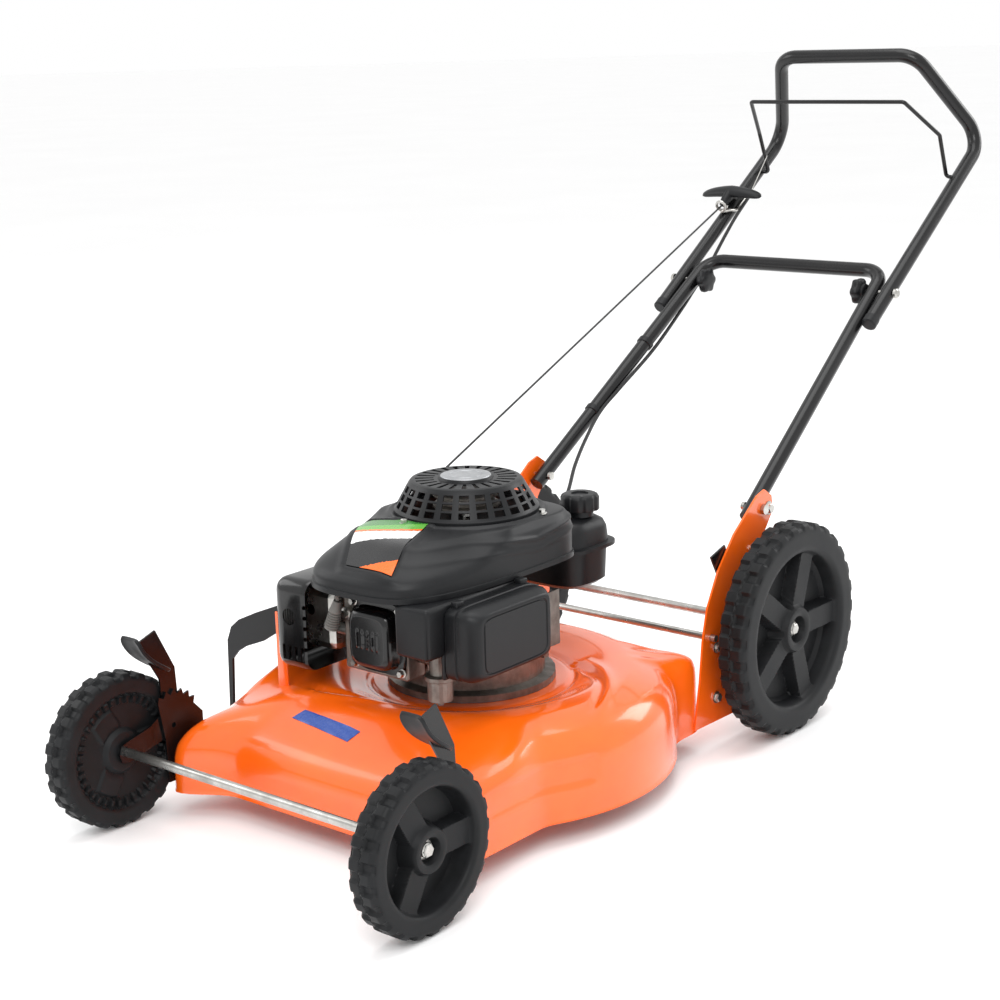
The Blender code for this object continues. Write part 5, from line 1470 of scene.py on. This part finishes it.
# ---------------------------------------------------------------- height levers and brackets
@dataclass
class Fittings:
    """Lever pads, wheel bolts and bracket bolts."""

    def wheel_bolts(self) -> None:
        """Model the bright bolt and washer in each wheel's hub."""
        for end, centre in (("front", FRONT_AXLE), ("rear", REAR_AXLE)):
            parts = []
            for side in Side:
                low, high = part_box(f"{end}_wheel_{side.name.lower()}")
                width = high.x - low.x
                face = high.x - width * 0.38 if side is Side.LEFT else low.x + width * 0.38
                parts.append(bolt((face + side.value * 0.0006, centre.y, centre.z), (side.value, 0.0, 0.0),
                                  0.0145, 0.0065, 0.0115))
            finish_piece(merge(f"{end}_axle_bolts", parts), ZINC, f"{end}_axle_set")

    def levers(self) -> None:
        """Model the broad finger pads on top of the front levers."""
        for side in Side:
            word = side.name.lower()
            low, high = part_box(f"front_lever_{word}")
            x = (low.x + high.x) / 2.0
            v, u = net(np.linspace(0.0, 1.0, 19), np.linspace(-1.0, 1.0, 15))
            rise = 0.192 + 0.054 * v
            lean = FRONT_AXLE.y + 0.070 - 0.052 * v - 0.010 * np.sin(v * pi)
            cup = 0.0022 * np.abs(u) ** 3
            wide = 0.0185 * (1.0 - 0.25 * (2.0 * v - 1.0) ** 6)
            pad = wrapped(f"lever_pad_{word}", np.stack([x + wide * u, lean - cup, rise + 0.0 * u], axis=-1))
            modify(pad, "SOLIDIFY", thickness=0.005, offset=0.0)
            modify(pad, "BEVEL", width=0.0012, segments=2, limit_method="ANGLE")
            finish_piece(pad, MOULDED, "front_axle_set")

    def brackets(self) -> None:
        """Model the bolts that show on the rear brackets."""
        for side in Side:
            sign = side.value
            low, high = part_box(f"rear_bracket_{side.name.lower()}")
            face = high.x if sign > 0 else low.x
            parts = []
            for back, up, across in ((0.026, 0.160, 0.013), (-0.106, -0.010, 0.010), (-0.106, -0.082, 0.011),
                                     (-0.014, 0.110, 0.010)):
                spot = (face + sign * 0.0002, REAR_AXLE.y + back, REAR_AXLE.z + up)
                parts.append(bolt(spot, (sign, 0.0, 0.0), across, 0.005, across * 0.75))
            finish_piece(merge(f"bracket_bolts_{side.name.lower()}", parts), ZINC, "root")

    def build(self) -> None:
        """Model the fittings."""
        self.wheel_bolts()
        self.levers()
        self.brackets()


# ---------------------------------------------------------------- studio
@dataclass
class Studio:
    """Plain pale floor, soft light and the camera."""

    azimuth: float = 40.6406
    elevation: float = 13.6734
    roll: float = -1.757
    distance: float = 2.525
    target: Triple = (0.0, -0.28555, 0.3777)
    lens: float = 69.69
    shift_x: float = 0.0321
    aim: Triple = (0.0, -0.1, 0.35)

    def camera(self) -> None:
        """Set the camera at its viewing angle."""
        a = radians(self.azimuth)
        e = radians(self.elevation)
        back = Vector((sin(a) * cos(e), -cos(a) * cos(e), sin(e)))
        right = Vector(UP).cross(back).normalized()
        up = back.cross(right)
        r = radians(self.roll)
        right, up = right * cos(r) + up * sin(r), up * cos(r) - right * sin(r)
        data = bpy.data.cameras.new("camera")
        data.lens = self.lens
        data.sensor_width = 36.0
        data.shift_x = self.shift_x
        data.clip_start = 0.05
        data.clip_end = 60.0
        cam = bpy.data.objects.new("camera", data)
        bpy.context.scene.collection.objects.link(cam)
        spot = Vector(self.target) + back * self.distance
        turn = Matrix((right, up, back)).transposed().to_4x4()
        cam.matrix_world = Matrix.Translation(spot) @ turn
        bpy.context.scene.camera = cam

    def light(self, name: str, spot: Triple, size: float, power: float) -> None:
        """Add one square soft light aimed at the mower.

        Args:
            name: Name of the light.
            spot: Its place.
            size: Length of its side.
            power: Its power in watts.
        """
        data = bpy.data.lights.new(name, "AREA")
        data.size = size
        data.energy = power
        lamp = bpy.data.objects.new(name, data)
        lamp.location = spot
        lamp.rotation_euler = (Vector(spot) - Vector(self.aim)).to_track_quat("Z", "Y").to_euler()
        bpy.context.scene.collection.objects.link(lamp)

    def build(self) -> None:
        """Set up floor, world, lights and camera."""
        deselect()
        bpy.ops.mesh.primitive_plane_add(size=160.0, location=(0.0, 0.0, -0.0005))
        floor = bpy.context.object
        floor.name = "studio_floor"
        bpy.ops.object.transform_apply(location=True, rotation=True, scale=True)
        pale = Finish("matt_white_paper", "", "#FEFEFE", "#FCFCFC", 0.9, 0.04, patch_mm=900.0)
        floor.data.materials.append(material_of(pale))
        world = bpy.data.worlds.new("studio")
        world.use_nodes = True
        world.node_tree.nodes["Background"].inputs["Color"].default_value = (1.0, 1.0, 1.0, 1.0)
        world.node_tree.nodes["Background"].inputs["Strength"].default_value = 1.0
        bpy.context.scene.world = world
        self.light("key", (1.6, -2.4, 2.6), 1.6, 40.0)
        self.light("fill", (-2.6, -1.2, 1.8), 1.6, 18.0)
        self.light("top", (0.0, 0.0, 3.2), 2.2, 34.0)
        self.light("rim", (1.2, 2.8, 1.8), 1.4, 26.0)
        self.camera()


def main() -> None:
    """Build every piece in order."""
    logging.basicConfig(level=logging.INFO, format="%(name)s %(message)s")
    bpy.context.scene.view_settings.view_transform = "Standard"
    Studio().build()
    Dressing().build()
    Deck().build()
    for side in Side:
        word = side.name.lower()
        for end, webs, slots, hub in (("front", 3, 24, 0.026), ("rear", 5, 30, 0.031)):
            Wheel(f"{end}_wheel_{word}", f"{end}_{word}_wheel", side, webs, slots, hub,
                  web_half=0.017).build()
    Handle().build()
    EngineCovers().build()
    Fittings().build()


if __name__ == "__main__":
    main()
